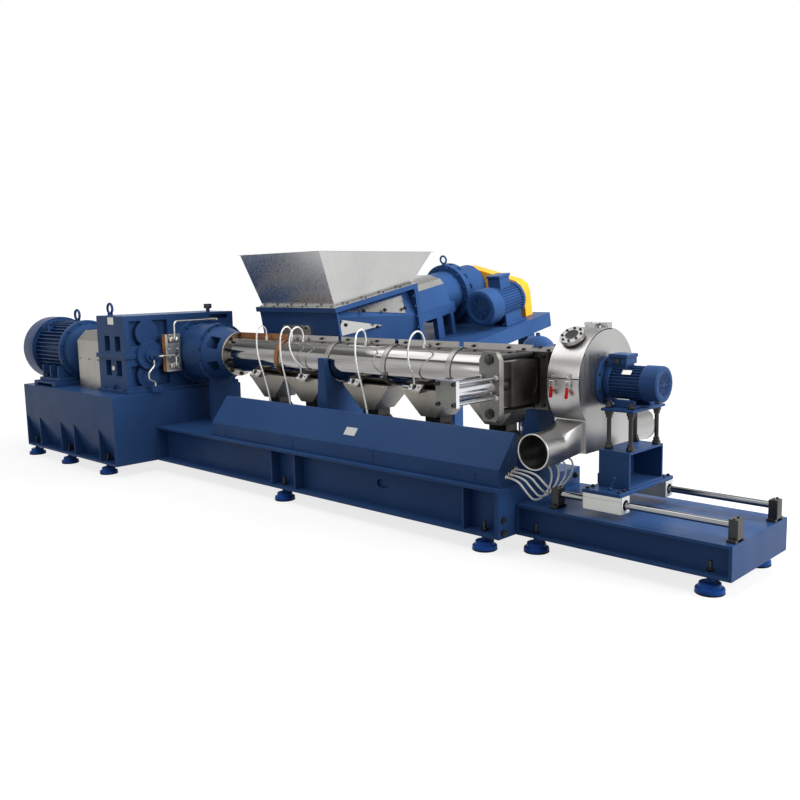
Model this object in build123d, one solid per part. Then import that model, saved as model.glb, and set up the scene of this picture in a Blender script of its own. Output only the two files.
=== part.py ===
from build123d import *
import math
import os

# Working frame, in millimetres: X along the barrel, Y = 0 on the barrel axis with +Y to the feeder side,
# Z = 0 on the floor. The finished pieces are shifted so that the origin is under the middle of the line.

# Clearances
MOVE_GAP = 6.0
RUNNING_FIT = 0.3
SHEET = 4.0
PLATE = 20.0

# Levelling feet
FOOT_HEIGHT = 100.0
FOOT_RADIUS = 79.0
FOOT_INSET = 62.0

# Base frames
DRIVE_LENGTH = 1805.0
SHAFT_RISE = 334.0
DRIVE_FRONT = 953.0
DRIVE_BACK = 410.0
DRIVE_BAY_HEIGHT = 315.0
DRIVE_BAY_DEPTH = 110.0
FRAME_LENGTH = 3909.0
FRAME_HEIGHT = 311.0
FRAME_FRONT = 540.0
FRAME_BACK = 360.0
FRAME_BAY_DEPTH = 100.0
RAIL_BASE_LENGTH = 1376.0
RAIL_BASE_HEIGHT = 195.0
RAIL_BASE_HALF = 370.0
RAIL_BAY_DEPTH = 60.0
GUSSET = 14.0

# Main drive
AXIS_HEIGHT = 1056.0
DRIVE_AXIS_Y = -529.0
MOTOR_CLEARANCE = 49.0
COWL_CLEARANCE = 12.0
COWL_LENGTH = 246.0
COWL_OVERHANG = 216.0
MOTOR_BODY_LENGTH = 450.0
SHIELD_LENGTH = 60.0
SHIELD_RISE = 14.0
BELL_LENGTH = 160.0
MOTOR_FOOT_HALF = 330.0
MOTOR_BASE_LEFT = 150.0
MOTOR_BASE_LENGTH = 470.0
MOTOR_BASE_HALF = 380.0
MOTOR_BASE_HEIGHT = 46.0
GUARD_GAP = 100.0
GUARD_HALF = 213.0
GUARD_WALL_HEIGHT = 457.0
GUARD_HEIGHT = 546.0
GUARD_CHAMFER = 90.0

# Gearbox
GEARBOX_INSET = 575.0
GEARBOX_LENGTH = 496.0
GEARBOX_FRONT = 755.0
GEARBOX_BACK = 410.0
GEARBOX_HEIGHT = 695.0
FLANGE_RIM = 16.0
FLANGE_HEIGHT = 40.0
FOOT_FLANGE = 30.0
POCKET_DEPTH = 55.0
BEARING_COVER_RADIUS = 130.0
BEARING_COVER_DEPTH = 30.0
COOLER_WIDTH = 150.0
COOLER_HEIGHT = 333.0
COOLER_DEPTH = 60.0
COOLER_Y = -345.0
COOLER_OFFSET = 64.0
PIPE_RADIUS = 9.0
PIPE_BEND = 34.0
RETURN_DROP = 60.0
RETURN_Y = 100.0
BREATHER_INSET = 234.0

# Thrust housing and barrel
THRUST_LENGTH = 654.0
THRUST_DRUM_RADIUS = 262.0
THRUST_DRUM_LENGTH = 364.0
THRUST_FLANGE_RADIUS = 300.0
THRUST_NOSE_RADIUS = 176.0
THRUST_BORE = 130.0
BARREL_FLANGE_RADIUS = 196.0
BARREL_FLANGE_DEPTH = 22.0
COVER_RADIUS = 152.0
FEED_ZONE_LENGTH = 703.0
ZONE_COUNT = 4
BAND_WIDTH = 44.0
BAND_DEPTH = 9.0
STRIP_HEIGHT = 44.0
STRIP_WIDTH = 16.0
STAND_WIDTH = 75.0
THRUST_STAND_HALF = 115.0
STAND_HALF = 195.0

# Cooling under the barrel
DUCT_SHARES = (0.765, 0.519, 0.651, 0.641, 0.566)
DUCT_TOP_SHARE = 0.38
DUCT_DEPTH_HALF = 130.0
DUCT_THROAT_HALF = 70.0
DUCT_RIM = 10.0
DUCT_FALL = 185.0
FAN_RADIUS = 140.0
FAN_WIDTH = 130.0
BOX_WIDTH = 120.0
BOX_DEPTH = 62.0
BOX_HEIGHT = 58.0
BOX_OFFSETS = (-98.0, 20.0, -79.0, -69.0, -80.0)

# Side guard along the main frame
SIDE_GUARD_START = 224.0
SIDE_GUARD_END = 32.0
SIDE_GUARD_FRONT = 491.0
SIDE_GUARD_SKIRT = 112.0
SIDE_GUARD_HEIGHT = 318.0
SIDE_GUARD_LEAN = 163.0
SIDE_GUARD_LIP = 26.0
SIDE_GUARD_SHEET = 6.0

# Side feeder, in its own tilted frame: u across, s along, n up from the flange
FEEDER_OFFSET = 458.0
FEEDER_Y = 300.0
FEEDER_RISE = 393.0
FEEDER_TILT = 10.5
TROUGH_HALF = 545.0
TROUGH_LENGTH = 1030.0
TROUGH_START = -45.0
FLANGE_THICK = 40.0
TROUGH_FRONT_DEPTH = 300.0
TROUGH_REAR_DEPTH = 500.0
TROUGH_MOUTH_HALF = 440.0
TROUGH_WALL = 30.0
FRONT_CREASE_HALF = 500.0
FRONT_CREASE_DROP = 70.0
FRONT_BOTTOM_HALF = 400.0
REAR_CREASE_HALF = 515.0
REAR_CREASE_DROP = 262.0
REAR_BOTTOM_HALF = 470.0
COVER_PLATE = 10.0
HOPPER_MOUTH_HALF = 491.0
HOPPER_TOP_HALF = 540.0
HOPPER_RISE = 484.0
HOPPER_FRONT_REACH = 200.0
HOPPER_BACK_REACH = 1171.0
HOPPER_SHEET = 6.0
THROAT_HALF = 150.0
THROAT_FLANGE_HALF = 187.0
THROAT_FLANGE_DEPTH = 40.0
THROAT_DROP = 225.0
THROAT_LENGTH = 240.0
LANTERN_HALF = 280.0
LANTERN_FOOT_HALF = 340.0
LANTERN_LENGTH = 655.0
LANTERN_TOP_DROP = 115.0
LANTERN_HEIGHT = 191.0
LANTERN_ROOF = 90.0
LEDGE_HALF = 360.0
LEDGE_HEIGHT = 94.0
LEDGE_REACH = 90.0
LEDGE_CORNER = 60.0
POST_WIDTH = 60.0
POST_STARTS = (397.0, 604.0)
POST_DEPTHS = (88.0, 51.0)
GEAR_UNIT_DROP = 283.0
GEAR_UNIT_RADIUS = 297.0
GEAR_UNIT_GAP = 320.0
GEAR_RING_DEPTH = 36.0
GEAR_UNIT_RIM = 150.0
GEAR_BOSS_RADIUS = 235.0
GEAR_BODY_RADIUS = 225.0
GEAR_BODY_LENGTH = 243.0
FEED_MOTOR_X = 640.0
FEED_MOTOR_LEAD = 256.0
FEED_MOTOR_DROP = 383.0
FEED_MOTOR_RADIUS = 160.0
FEED_COWL_RADIUS = 178.0
FEED_COWL_LENGTH = 170.0
FEED_MOTOR_LENGTH = 590.0
BELT_GUARD_GAP = 12.0
BELT_GUARD_DEPTH = 115.0
BELT_BIG_RADIUS = 195.0
BELT_SMALL_RADIUS = 145.0
BELT_FOOT_WIDTH = 130.0
BELT_EDGE = 51.0
DECK_DROP = 610.0
DECK_DEPTH = 146.0
DECK_LEAD = 105.0
DECK_TAIL = 93.0
DECK_RIGHT = 840.0
DECK_LEFT = 420.0
LEG_WIDTH = 120.0

# Screen changer
CHANGER_OFFSET = 21.0
CHANGER_LENGTH = 246.0
CHANGER_HALF = 225.0
CHANGER_HEIGHT = 360.0
SLIDE_THICK = 104.0
SLIDE_HEIGHT = 268.0
SLIDE_FRONT = 500.0
SLIDE_BACK = 180.0
SLIDE_STROKE = 330.0
SCREEN_RADIUS = 92.0
SCREEN_RECESS = 6.0
SLIDE_ROD_RADIUS = 35.0
SLIDE_ROD_LENGTH = 480.0
TIE_ROD_RADIUS = 19.0
TIE_ROD_OFFSET = 160.0
MOUNT_PLATE_WIDTH = 150.0
MOUNT_PLATE_HEIGHT = 410.0
MOUNT_PLATE_DEPTH = 40.0
MOUNT_PLATE_Y = -645.0
CYLINDER_RADIUS = 57.0
CYLINDER_LENGTH = 360.0
CAP_DEPTH = 40.0
CAP_SIZE = 150.0
CYLINDER_TIE_OFFSET = 58.0
CYLINDER_TIE_RADIUS = 9.0
DIE_RADIUS = 150.0
DIE_LENGTH = 88.0
ACCUMULATOR_SETBACK = 191.0
ACCUMULATOR_Y = 290.0
ACCUMULATOR_RADIUS = 120.0
ACCUMULATOR_TOP = 1290.0
ACCUMULATOR_NECK = 110.0
ACCUMULATOR_VALVE = 20.0

# Pelletizer carriage
RAIL_Y = 262.0
RAIL_HEIGHT = 85.0
RAIL_RADIUS = 20.0
END_BLOCK_LENGTH = 52.0
END_BLOCK_HALF = 36.0
END_BLOCK_HEIGHT = 122.0
LEFT_BLOCK_INSET = 216.0
RIGHT_BLOCK_INSET = 5.0
BEARING_GAP = 26.0
BEARING_LENGTH = 252.0
BEARING_HALF = 45.0
BEARING_HEIGHT = 100.0
CARRIAGE_HALF = 320.0
CARRIAGE_PLATE = 22.0
STAND_BOX_INSET = 39.0
STAND_BOX_LENGTH = 202.0
STAND_BOX_HALF = 201.0
STAND_BOX_HEIGHT = 220.0
STAND_BOX_WALL = 14.0
ROD_RADIUS = 13.0
ROD_INSETS = (78.0, 220.0)
ROD_Y = 153.0
MOTOR_PLATE_DROP = 138.0
MOTOR_PLATE = 16.0
MOTOR_PLATE_HALF = 190.0
CUTTER_MOTOR_RADIUS = 102.0
CUTTER_FLANGE_RADIUS = 148.0
CUTTER_FLANGE_DEPTH = 16.0
CUTTER_BODY_LENGTH = 250.0
CUTTER_COWL_RADIUS = 108.0
CUTTER_COWL_LENGTH = 107.0
CUTTER_BOX_LENGTH = 105.0
HOOD_GAP = 57.0
HOOD_LENGTH = 219.0
HOOD_RADIUS = 321.0
HOOD_BOX_HALF = 240.0
HOOD_BOX_DROP = 416.0
DOOR_SEAM_ANGLE = 174.0
DOOR_HINGE_ANGLE = 82.0
OUTLET_RADIUS = 104.0
OUTLET_DROP = 357.0
OUTLET_PIPE_START = 430.0
OUTLET_REACH = 619.0
OUTLET_MOUTH_DROP = 222.0
HINGE_RISE = 20.0
HINGE_WIDTH = 50.0
HINGE_PIN = 6.0
CLAMP_WIDTH = 26.0
CLAMP_HEIGHT = 90.0
SIGHT_ANGLE = 126.0
SIGHT_SHARE = 0.45
SIGHT_RADIUS = 76.0
SIGHT_DEPTH = 26.0

# Cables
CABLE_RADIUS = 6.5
GLAND_HEIGHT = 22.0
GLAND_Y = -40.0

# Places worked out from the driving dimensions
DRIVE_TOP = AXIS_HEIGHT - SHAFT_RISE
MOTOR_RADIUS = SHAFT_RISE - MOTOR_CLEARANCE
COWL_RADIUS = SHAFT_RISE - COWL_CLEARANCE
GEARBOX_LEFT = DRIVE_LENGTH - GEARBOX_INSET
FRAME_TOP = FOOT_HEIGHT + FRAME_HEIGHT
FRAME_RIGHT = DRIVE_LENGTH + FRAME_LENGTH
RAIL_BASE_TOP = FOOT_HEIGHT + RAIL_BASE_HEIGHT
RAIL_BASE_RIGHT = FRAME_RIGHT + RAIL_BASE_LENGTH
GEARBOX_RIGHT = GEARBOX_LEFT + GEARBOX_LENGTH
GEARBOX_TOP = DRIVE_TOP + GEARBOX_HEIGHT
THRUST_RIGHT = GEARBOX_RIGHT + THRUST_LENGTH
BARREL_START = THRUST_RIGHT + BARREL_FLANGE_DEPTH
FEED_ZONE_END = BARREL_START + FEED_ZONE_LENGTH
CHANGER_X = FRAME_RIGHT + CHANGER_OFFSET
CHANGER_LEFT = CHANGER_X - CHANGER_LENGTH / 2
CHANGER_RIGHT = CHANGER_X + CHANGER_LENGTH / 2
ZONE_LENGTH = (CHANGER_LEFT - FEED_ZONE_END) / ZONE_COUNT
FEEDER_X = BARREL_START + FEEDER_OFFSET
FEEDER_Z = AXIS_HEIGHT + FEEDER_RISE
HOPPER_TOP = FEEDER_Z + HOPPER_RISE
FEEDER_PLACE = Location((FEEDER_X, FEEDER_Y, FEEDER_Z), (FEEDER_TILT, 0, 0))
TROUGH_END = TROUGH_START + TROUGH_LENGTH
RAIL_Z = RAIL_BASE_TOP + RAIL_HEIGHT
BEARING_BOTTOM = RAIL_Z - BEARING_HEIGHT / 2
CARRIAGE_BOTTOM = BEARING_BOTTOM + BEARING_HEIGHT
CARRIAGE_TOP = CARRIAGE_BOTTOM + CARRIAGE_PLATE
STAND_BOX_TOP = CARRIAGE_TOP + STAND_BOX_HEIGHT
HOOD_LEFT = CHANGER_RIGHT + HOOD_GAP
HOOD_RIGHT = HOOD_LEFT + HOOD_LENGTH
HOOD_BOX_BOTTOM = AXIS_HEIGHT - HOOD_BOX_DROP
OUTLET_Z = AXIS_HEIGHT - OUTLET_DROP
OUTLET_MOUTH_TOP = AXIS_HEIGHT - OUTLET_MOUTH_DROP
BEARING_LEFT = HOOD_RIGHT + BEARING_GAP
STAND_BOX_LEFT = BEARING_LEFT + STAND_BOX_INSET
ROD_X = [BEARING_LEFT + inset for inset in ROD_INSETS]
MOTOR_PLATE_TOP = AXIS_HEIGHT - MOTOR_PLATE_DROP
LOW = (Align.CENTER, Align.CENTER, Align.MIN)

pieces = {}


def block(x0, x1, y0, y1, z0, z1):
    """A box between two corners."""
    middle = Pos((x0 + x1) / 2, (y0 + y1) / 2, (z0 + z1) / 2)
    return middle * Box(x1 - x0, y1 - y0, z1 - z0)


def round_x(x0, x1, y, z, radius):
    """A cylinder along X."""
    return Pos(x0, y, z) * Rot(0, 90, 0) * Cylinder(radius, x1 - x0, align=LOW)


def round_y(y0, y1, x, z, radius):
    """A cylinder along Y."""
    return Pos(x, y0, z) * Rot(-90, 0, 0) * Cylinder(radius, y1 - y0, align=LOW)


def round_z(z0, z1, x, y, radius):
    """A cylinder along Z."""
    return Pos(x, y, z0) * Cylinder(radius, z1 - z0, align=LOW)


def prism_x(x0, x1, points):
    """A plate along X with an outline in Y and Z."""
    outline = Plane.YZ.offset(x0) * Polygon(*points, align=None)
    return extrude(outline, amount=x1 - x0, dir=(1, 0, 0))


def prism_y(y0, y1, points):
    """A plate along Y with an outline in X and Z."""
    outline = Plane.XZ.offset(-y0) * Polygon(*points, align=None)
    return extrude(outline, amount=y1 - y0, dir=(0, 1, 0))


def pipe(points, radius, bend):
    """A round pipe along straight runs with equal bends."""
    path = FilletPolyline(*points, radius=bend)
    section = Plane(origin=path @ 0, z_dir=path % 0) * Circle(radius)
    return sweep(section, path=path)


def skin(rings):
    """A ruled solid between two closed outlines of four points."""
    faces = [make_face(Polyline(*ring, close=True)) for ring in rings]
    return loft(faces, ruled=True)


def cable_path(points):
    """Straight runs joined by arcs as large as each pair of runs allows."""
    spots = [Vector(*point) for point in points]
    radii = []
    for before, here, after in zip(spots, spots[1:], spots[2:]):
        turn = math.radians((here - before).get_angle(after - here))
        shorter = min((here - before).length, (after - here).length)
        radii.append(0.45 * shorter / math.tan(turn / 2))
    return FilletPolyline(*spots, radius=radii), radii


def cable(name, points):
    """A hanging cable as a tube along its route."""
    path, radii = cable_path(points)
    section = Plane(origin=path @ 0, z_dir=path % 0) * Circle(CABLE_RADIUS)
    tube = sweep(section, path=path)
    ideal = math.pi * CABLE_RADIUS ** 2 * path.length
    print(name, "length", round(path.length), "volume share", round(tube.volume / ideal, 4))
    print("  radii", [round(radius) for radius in radii])
    pieces[name] = tube


# Base frames and feet
def base_frame(left, right, front, back, top, bay, rib, ribs):
    """A closed base frame with a recessed bay along its front and plates across the bay."""
    body = block(left, right, front, back, FOOT_HEIGHT, top)
    body -= prism_x(left + PLATE, right - PLATE, [(front + depth, z) for depth, z in bay])
    for rib_x in ribs:
        body += prism_x(rib_x - GUSSET / 2, rib_x + GUSSET / 2, [(front + depth, z) for depth, z in rib])
    return body


def square_bay(depth, bay_top, setback):
    """The outline of an upright bay that starts behind the frame's front by the setback."""
    low = FOOT_HEIGHT + PLATE
    return [(setback, low), (depth, low), (depth, bay_top), (setback, bay_top)]


drive_feet = [FOOT_INSET, DRIVE_LENGTH * 0.434, DRIVE_LENGTH * 0.853]
frame_feet = [DRIVE_LENGTH + FRAME_LENGTH * 0.45, FRAME_RIGHT - 2 * FOOT_RADIUS]
rail_feet = [FRAME_RIGHT + 1.45 * FOOT_RADIUS, RAIL_BASE_RIGHT - 1.8 * FOOT_RADIUS]
drive_ribs = [DRIVE_LENGTH * share for share in (0.169, 0.42, 0.57, 0.838)]
frame_ribs = [frame_feet[0] - 97, frame_feet[0] + 187, frame_feet[1] - 137, frame_feet[1] + 120]
drive_bay = [(0, FOOT_HEIGHT + DRIVE_BAY_HEIGHT), (0, FOOT_HEIGHT + PLATE),
             (DRIVE_BAY_DEPTH, FOOT_HEIGHT + PLATE)]
pieces["drive_base"] = base_frame(0, DRIVE_LENGTH, -DRIVE_FRONT, DRIVE_BACK, DRIVE_TOP, drive_bay, drive_bay,
                                  drive_ribs)
main_frame = base_frame(DRIVE_LENGTH, FRAME_RIGHT, -FRAME_FRONT, FRAME_BACK, FRAME_TOP,
                        square_bay(FRAME_BAY_DEPTH, FRAME_TOP - PLATE, 0),
                        square_bay(FRAME_BAY_DEPTH, FRAME_TOP - PLATE, GUSSET), frame_ribs)
hole_x = DRIVE_LENGTH + FRAME_LENGTH * 0.72
hole_z = (FOOT_HEIGHT + FRAME_TOP) / 2 + PLATE
for side in (-1, 1):
    main_frame -= round_y(-FRAME_FRONT, -FRAME_FRONT + FRAME_BAY_DEPTH + PLATE, hole_x + side * 30, hole_z,
                          28)
main_frame -= block(hole_x - 30, hole_x + 30, -FRAME_FRONT, -FRAME_FRONT + FRAME_BAY_DEPTH + PLATE,
                    hole_z - 28, hole_z + 28)
pieces["main_frame"] = main_frame
pieces["rail_base"] = base_frame(FRAME_RIGHT, RAIL_BASE_RIGHT, -RAIL_BASE_HALF, RAIL_BASE_HALF, RAIL_BASE_TOP,
                                 square_bay(RAIL_BAY_DEPTH, RAIL_BASE_TOP - PLATE, 0), [], [])


def levelling_foot(x, y):
    """A two-step pad with its stud."""
    foot = round_z(0, FOOT_HEIGHT * 0.34, x, y, FOOT_RADIUS)
    foot += round_z(FOOT_HEIGHT * 0.34, FOOT_HEIGHT * 0.62, x, y, FOOT_RADIUS * 0.76)
    foot += round_z(FOOT_HEIGHT * 0.62, FOOT_HEIGHT, x, y, FOOT_RADIUS * 0.24)
    return foot


feet_places = [(x, y) for x in drive_feet for y in (FOOT_INSET - DRIVE_FRONT, DRIVE_BACK - FOOT_INSET)]
feet_places += [(x, y) for x in frame_feet for y in (FOOT_INSET - FRAME_FRONT, FRAME_BACK - FOOT_INSET)]
feet_places += [(x, y) for x in rail_feet for y in (FOOT_INSET - RAIL_BASE_HALF, RAIL_BASE_HALF - FOOT_INSET)]
pieces["levelling_feet"] = Compound(children=[levelling_foot(x, y) for x, y in feet_places])

# Main motor with its slide base and coupling guard
motor_base_top = DRIVE_TOP + MOTOR_BASE_HEIGHT
motor_base_right = MOTOR_BASE_LEFT + MOTOR_BASE_LENGTH
motor_base = block(MOTOR_BASE_LEFT, motor_base_right, DRIVE_AXIS_Y - MOTOR_BASE_HALF,
                   DRIVE_AXIS_Y + MOTOR_BASE_HALF, DRIVE_TOP, motor_base_top)
motor_base -= block(MOTOR_BASE_LEFT + 4 * PLATE, motor_base_right - 4 * PLATE, DRIVE_AXIS_Y - MOTOR_BASE_HALF,
                    DRIVE_AXIS_Y + MOTOR_BASE_HALF, DRIVE_TOP, motor_base_top - PLATE)
pieces["motor_slide_base"] = motor_base

cowl_right = COWL_LENGTH - COWL_OVERHANG
body_right = cowl_right + MOTOR_BODY_LENGTH
shield_right = body_right + SHIELD_LENGTH
motor_right = shield_right + BELL_LENGTH
motor = round_x(-COWL_OVERHANG, cowl_right, DRIVE_AXIS_Y, AXIS_HEIGHT, COWL_RADIUS)
motor += round_x(cowl_right, body_right, DRIVE_AXIS_Y, AXIS_HEIGHT, MOTOR_RADIUS)
motor += round_x(body_right, shield_right, DRIVE_AXIS_Y, AXIS_HEIGHT, MOTOR_RADIUS + SHIELD_RISE)
motor += round_x(shield_right, motor_right, DRIVE_AXIS_Y, AXIS_HEIGHT, MOTOR_RADIUS * 0.9)
motor += block(MOTOR_BASE_LEFT + PLATE, motor_base_right - PLATE, DRIVE_AXIS_Y - MOTOR_FOOT_HALF,
               DRIVE_AXIS_Y + MOTOR_FOOT_HALF, motor_base_top, motor_base_top + 2 * PLATE)
motor += block(MOTOR_BASE_LEFT + 2 * PLATE, motor_base_right - 2 * PLATE,
               DRIVE_AXIS_Y - MOTOR_FOOT_HALF * 0.75,
               DRIVE_AXIS_Y + MOTOR_FOOT_HALF * 0.75, motor_base_top + 2 * PLATE, AXIS_HEIGHT)
motor -= motor_base
pieces["main_motor"] = motor

# Gearbox
gearbox = block(GEARBOX_LEFT, GEARBOX_RIGHT, -GEARBOX_FRONT, GEARBOX_BACK, DRIVE_TOP, GEARBOX_TOP)
rim_left = GEARBOX_LEFT - FLANGE_RIM
rim_right = GEARBOX_RIGHT + FLANGE_RIM
gearbox += block(rim_left, rim_right, -GEARBOX_FRONT - FLANGE_RIM, GEARBOX_BACK,
                 AXIS_HEIGHT - FLANGE_HEIGHT / 2, AXIS_HEIGHT + FLANGE_HEIGHT / 2)
gearbox += block(rim_left, GEARBOX_RIGHT + 3 * FLANGE_RIM, -GEARBOX_FRONT - FLANGE_RIM, GEARBOX_BACK,
                 DRIVE_TOP, DRIVE_TOP + FOOT_FLANGE)
pocket_right = GEARBOX_RIGHT - POCKET_DEPTH
upper_pocket = (AXIS_HEIGHT + 90, GEARBOX_TOP - 48)
lower_pocket = (DRIVE_TOP + FOOT_FLANGE + 30, AXIS_HEIGHT - 90)
for low, high in (upper_pocket, lower_pocket):
    pockets = block(pocket_right, GEARBOX_RIGHT, DRIVE_AXIS_Y - 175, DRIVE_AXIS_Y + 210, low, high)
    pockets -= block(pocket_right, GEARBOX_RIGHT, DRIVE_AXIS_Y - 60, DRIVE_AXIS_Y + 60, low, high)
    pockets -= round_x(pocket_right, GEARBOX_RIGHT, DRIVE_AXIS_Y, (low + high) / 2, 115)
    gearbox -= pockets
for low, high in ((AXIS_HEIGHT + 43, AXIS_HEIGHT + 179), (AXIS_HEIGHT - 181, AXIS_HEIGHT - 40)):
    for window in (0.36, 0.74):
        pocket_x = GEARBOX_LEFT + GEARBOX_LENGTH * window
        gearbox -= block(pocket_x - 46, pocket_x + 46, -GEARBOX_FRONT, -GEARBOX_FRONT + POCKET_DEPTH, low,
                         high)
gearbox -= block(pocket_right, GEARBOX_RIGHT, GEARBOX_BACK - 270, GEARBOX_BACK - 60, GEARBOX_TOP - 65,
                 GEARBOX_TOP - 25)
pieces["gearbox_housing"] = gearbox

guard_left = motor_right + GUARD_GAP
guard_wall = DRIVE_TOP + GUARD_WALL_HEIGHT
guard_roof = DRIVE_TOP + GUARD_HEIGHT
guard_flat = GUARD_HALF - GUARD_CHAMFER
guard_outline = [(-GUARD_HALF, DRIVE_TOP), (-GUARD_HALF, guard_wall), (-guard_flat, guard_roof),
                 (guard_flat, guard_roof), (GUARD_HALF, guard_wall), (GUARD_HALF, DRIVE_TOP)]
guard_outline = [(DRIVE_AXIS_Y + y, z) for y, z in guard_outline]
pieces["coupling_guard"] = prism_x(guard_left, GEARBOX_LEFT, guard_outline) - gearbox

pump_start = GEARBOX_RIGHT + BEARING_COVER_DEPTH
pump_end = pump_start + 80
cover_edge = GEARBOX_RIGHT + FLANGE_RIM
bearing_cover = round_x(GEARBOX_RIGHT, cover_edge + BEARING_COVER_DEPTH, DRIVE_AXIS_Y, AXIS_HEIGHT,
                        BEARING_COVER_RADIUS)
bearing_cover += round_x(cover_edge, pump_start + 50, DRIVE_AXIS_Y, AXIS_HEIGHT, BEARING_COVER_RADIUS * 0.5)
pump = round_x(cover_edge, pump_end, DRIVE_AXIS_Y, AXIS_HEIGHT, BEARING_COVER_RADIUS * 0.32)
bearing_cover = bearing_cover + pump - gearbox
strainer_left = GEARBOX_RIGHT + 3 * FLANGE_RIM
strainer_y = DRIVE_AXIS_Y + 10
strainer = block(strainer_left, strainer_left + 60, strainer_y - 50, strainer_y + 50, DRIVE_TOP,
                 DRIVE_TOP + 60)
breather_x = GEARBOX_RIGHT - 70
breather = round_z(GEARBOX_TOP, GEARBOX_TOP + 34, breather_x, GEARBOX_BACK - BREATHER_INSET, 18)
breather += round_z(GEARBOX_TOP + 34, GEARBOX_TOP + 78, breather_x, GEARBOX_BACK - BREATHER_INSET, 38)
pieces["gearbox_fittings"] = Compound(children=[bearing_cover, strainer, breather])

cooler_left = GEARBOX_RIGHT + COOLER_OFFSET
cooler_right = cooler_left + COOLER_DEPTH
cooler_low = AXIS_HEIGHT + 14 - COOLER_HEIGHT / 2
cooler_high = cooler_low + COOLER_HEIGHT
cooler = block(cooler_left, cooler_right, COOLER_Y - COOLER_WIDTH / 2, COOLER_Y + COOLER_WIDTH / 2,
               cooler_low, cooler_high)
cooler = fillet(cooler.edges().filter_by(Axis.X), 24)
cooler += block(GEARBOX_RIGHT, cooler_left, COOLER_Y - 45, COOLER_Y + 45,
                AXIS_HEIGHT + FLANGE_HEIGHT / 2, AXIS_HEIGHT + 90)
port_y = COOLER_WIDTH / 2 - 48
for port_z in (cooler_low + 48, cooler_high - 48):
    for side in (-1, 1):
        cooler += round_x(cooler_right, cooler_right + 30, COOLER_Y + side * port_y, port_z, 20)
pieces["oil_cooler"] = cooler

port_x = cooler_right + 30
pump_pipe = pipe([(port_x, COOLER_Y - port_y, cooler_low + 48),
                  (port_x + 60, COOLER_Y - port_y, cooler_low + 48),
                  (port_x + 60, COOLER_Y - port_y, AXIS_HEIGHT), (port_x + 60, DRIVE_AXIS_Y, AXIS_HEIGHT),
                  (pump_end, DRIVE_AXIS_Y, AXIS_HEIGHT)], PIPE_RADIUS, 24)
suction_x = pump_end - 14
suction_pipe = pipe([(suction_x, DRIVE_AXIS_Y, AXIS_HEIGHT - BEARING_COVER_RADIUS * 0.2),
                     (suction_x, DRIVE_AXIS_Y, AXIS_HEIGHT - 90),
                     (suction_x, strainer_y - 70, AXIS_HEIGHT - 150),
                     (suction_x, strainer_y - 70, DRIVE_TOP + 130),
                     (suction_x, strainer_y - 10, DRIVE_TOP + 95),
                     (suction_x, strainer_y - 10, DRIVE_TOP + 60)], PIPE_RADIUS, 20)
suction_pipe -= pump
return_z = GEARBOX_TOP - RETURN_DROP
return_pipe = pipe([(port_x, COOLER_Y - port_y, cooler_high - 48),
                    (port_x + 50, COOLER_Y - port_y, cooler_high - 48),
                    (port_x + 50, COOLER_Y - port_y, return_z), (port_x + 50, RETURN_Y, return_z),
                    (GEARBOX_RIGHT, RETURN_Y, return_z)], PIPE_RADIUS, PIPE_BEND)
pieces["oil_pipes"] = Compound(children=[pump_pipe, suction_pipe, return_pipe])


def lifting_eye(x, y, z, ring):
    """A lifting eye bolt with its collar, ring across X."""
    eye = round_z(z, z + 22, x, y, ring * 0.55)
    eye += Pos(x, y, z + 18 + ring) * Rot(90, 0, 0) * Torus(ring, ring * 0.26)
    return eye


# Thrust housing and heated barrel
drum_right = GEARBOX_RIGHT + THRUST_DRUM_LENGTH
thrust = round_x(GEARBOX_RIGHT, rim_right + 46, 0, AXIS_HEIGHT, THRUST_FLANGE_RADIUS)
thrust += round_x(GEARBOX_RIGHT, drum_right, 0, AXIS_HEIGHT, THRUST_DRUM_RADIUS)
thrust += round_x(drum_right, drum_right + 34, 0, AXIS_HEIGHT, THRUST_DRUM_RADIUS + 10)
nose_length = THRUST_RIGHT - drum_right - 34
thrust += Pos(drum_right + 34, 0, AXIS_HEIGHT) * Rot(0, 90, 0) * Cone(THRUST_DRUM_RADIUS - 16,
                                                                      THRUST_NOSE_RADIUS,
                                                                  nose_length, align=LOW)
thrust -= round_x(GEARBOX_RIGHT, THRUST_RIGHT, 0, AXIS_HEIGHT, THRUST_BORE)
thrust -= gearbox
window_x = drum_right + 34 + nose_length * 0.48
for lean in (-32, 32, 148, 212):
    cut = Pos(window_x, 0, AXIS_HEIGHT) * Rot(lean, 0, 0) * Pos(0, 200, 0) * Box(118, 240, 112)
    thrust -= cut
pieces["thrust_housing"] = thrust
pieces["barrel_flange"] = round_x(THRUST_RIGHT, BARREL_START, 0, AXIS_HEIGHT, BARREL_FLANGE_RADIUS)

zone_ends = [BARREL_START, FEED_ZONE_END]
zone_ends += [FEED_ZONE_END + ZONE_LENGTH * (zone + 1) for zone in range(ZONE_COUNT)]
zone_ends[-1] = CHANGER_LEFT
covers = []
strips = []
for start, end in zip(zone_ends, zone_ends[1:]):
    first = start if start == BARREL_START else start + 2
    last = end if end == CHANGER_LEFT else end - 2
    covers.append(round_x(first, last, 0, AXIS_HEIGHT, COVER_RADIUS))
    strip = block(start + BAND_WIDTH / 2 + 3, end - BAND_WIDTH / 2 - 3, -STRIP_WIDTH / 2, STRIP_WIDTH / 2,
                  AXIS_HEIGHT, AXIS_HEIGHT + COVER_RADIUS + STRIP_HEIGHT)
    strips.append(strip - round_x(start, end, 0, AXIS_HEIGHT, COVER_RADIUS))
bands = []
for joint in zone_ends[1:-1]:
    half = BAND_WIDTH / 2
    band = round_x(joint - half, joint + half, 0, AXIS_HEIGHT, COVER_RADIUS + BAND_DEPTH)
    bands.append(band - round_x(joint - half, joint + half, 0, AXIS_HEIGHT, COVER_RADIUS))
pieces["heater_covers"] = Compound(children=covers)
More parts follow.
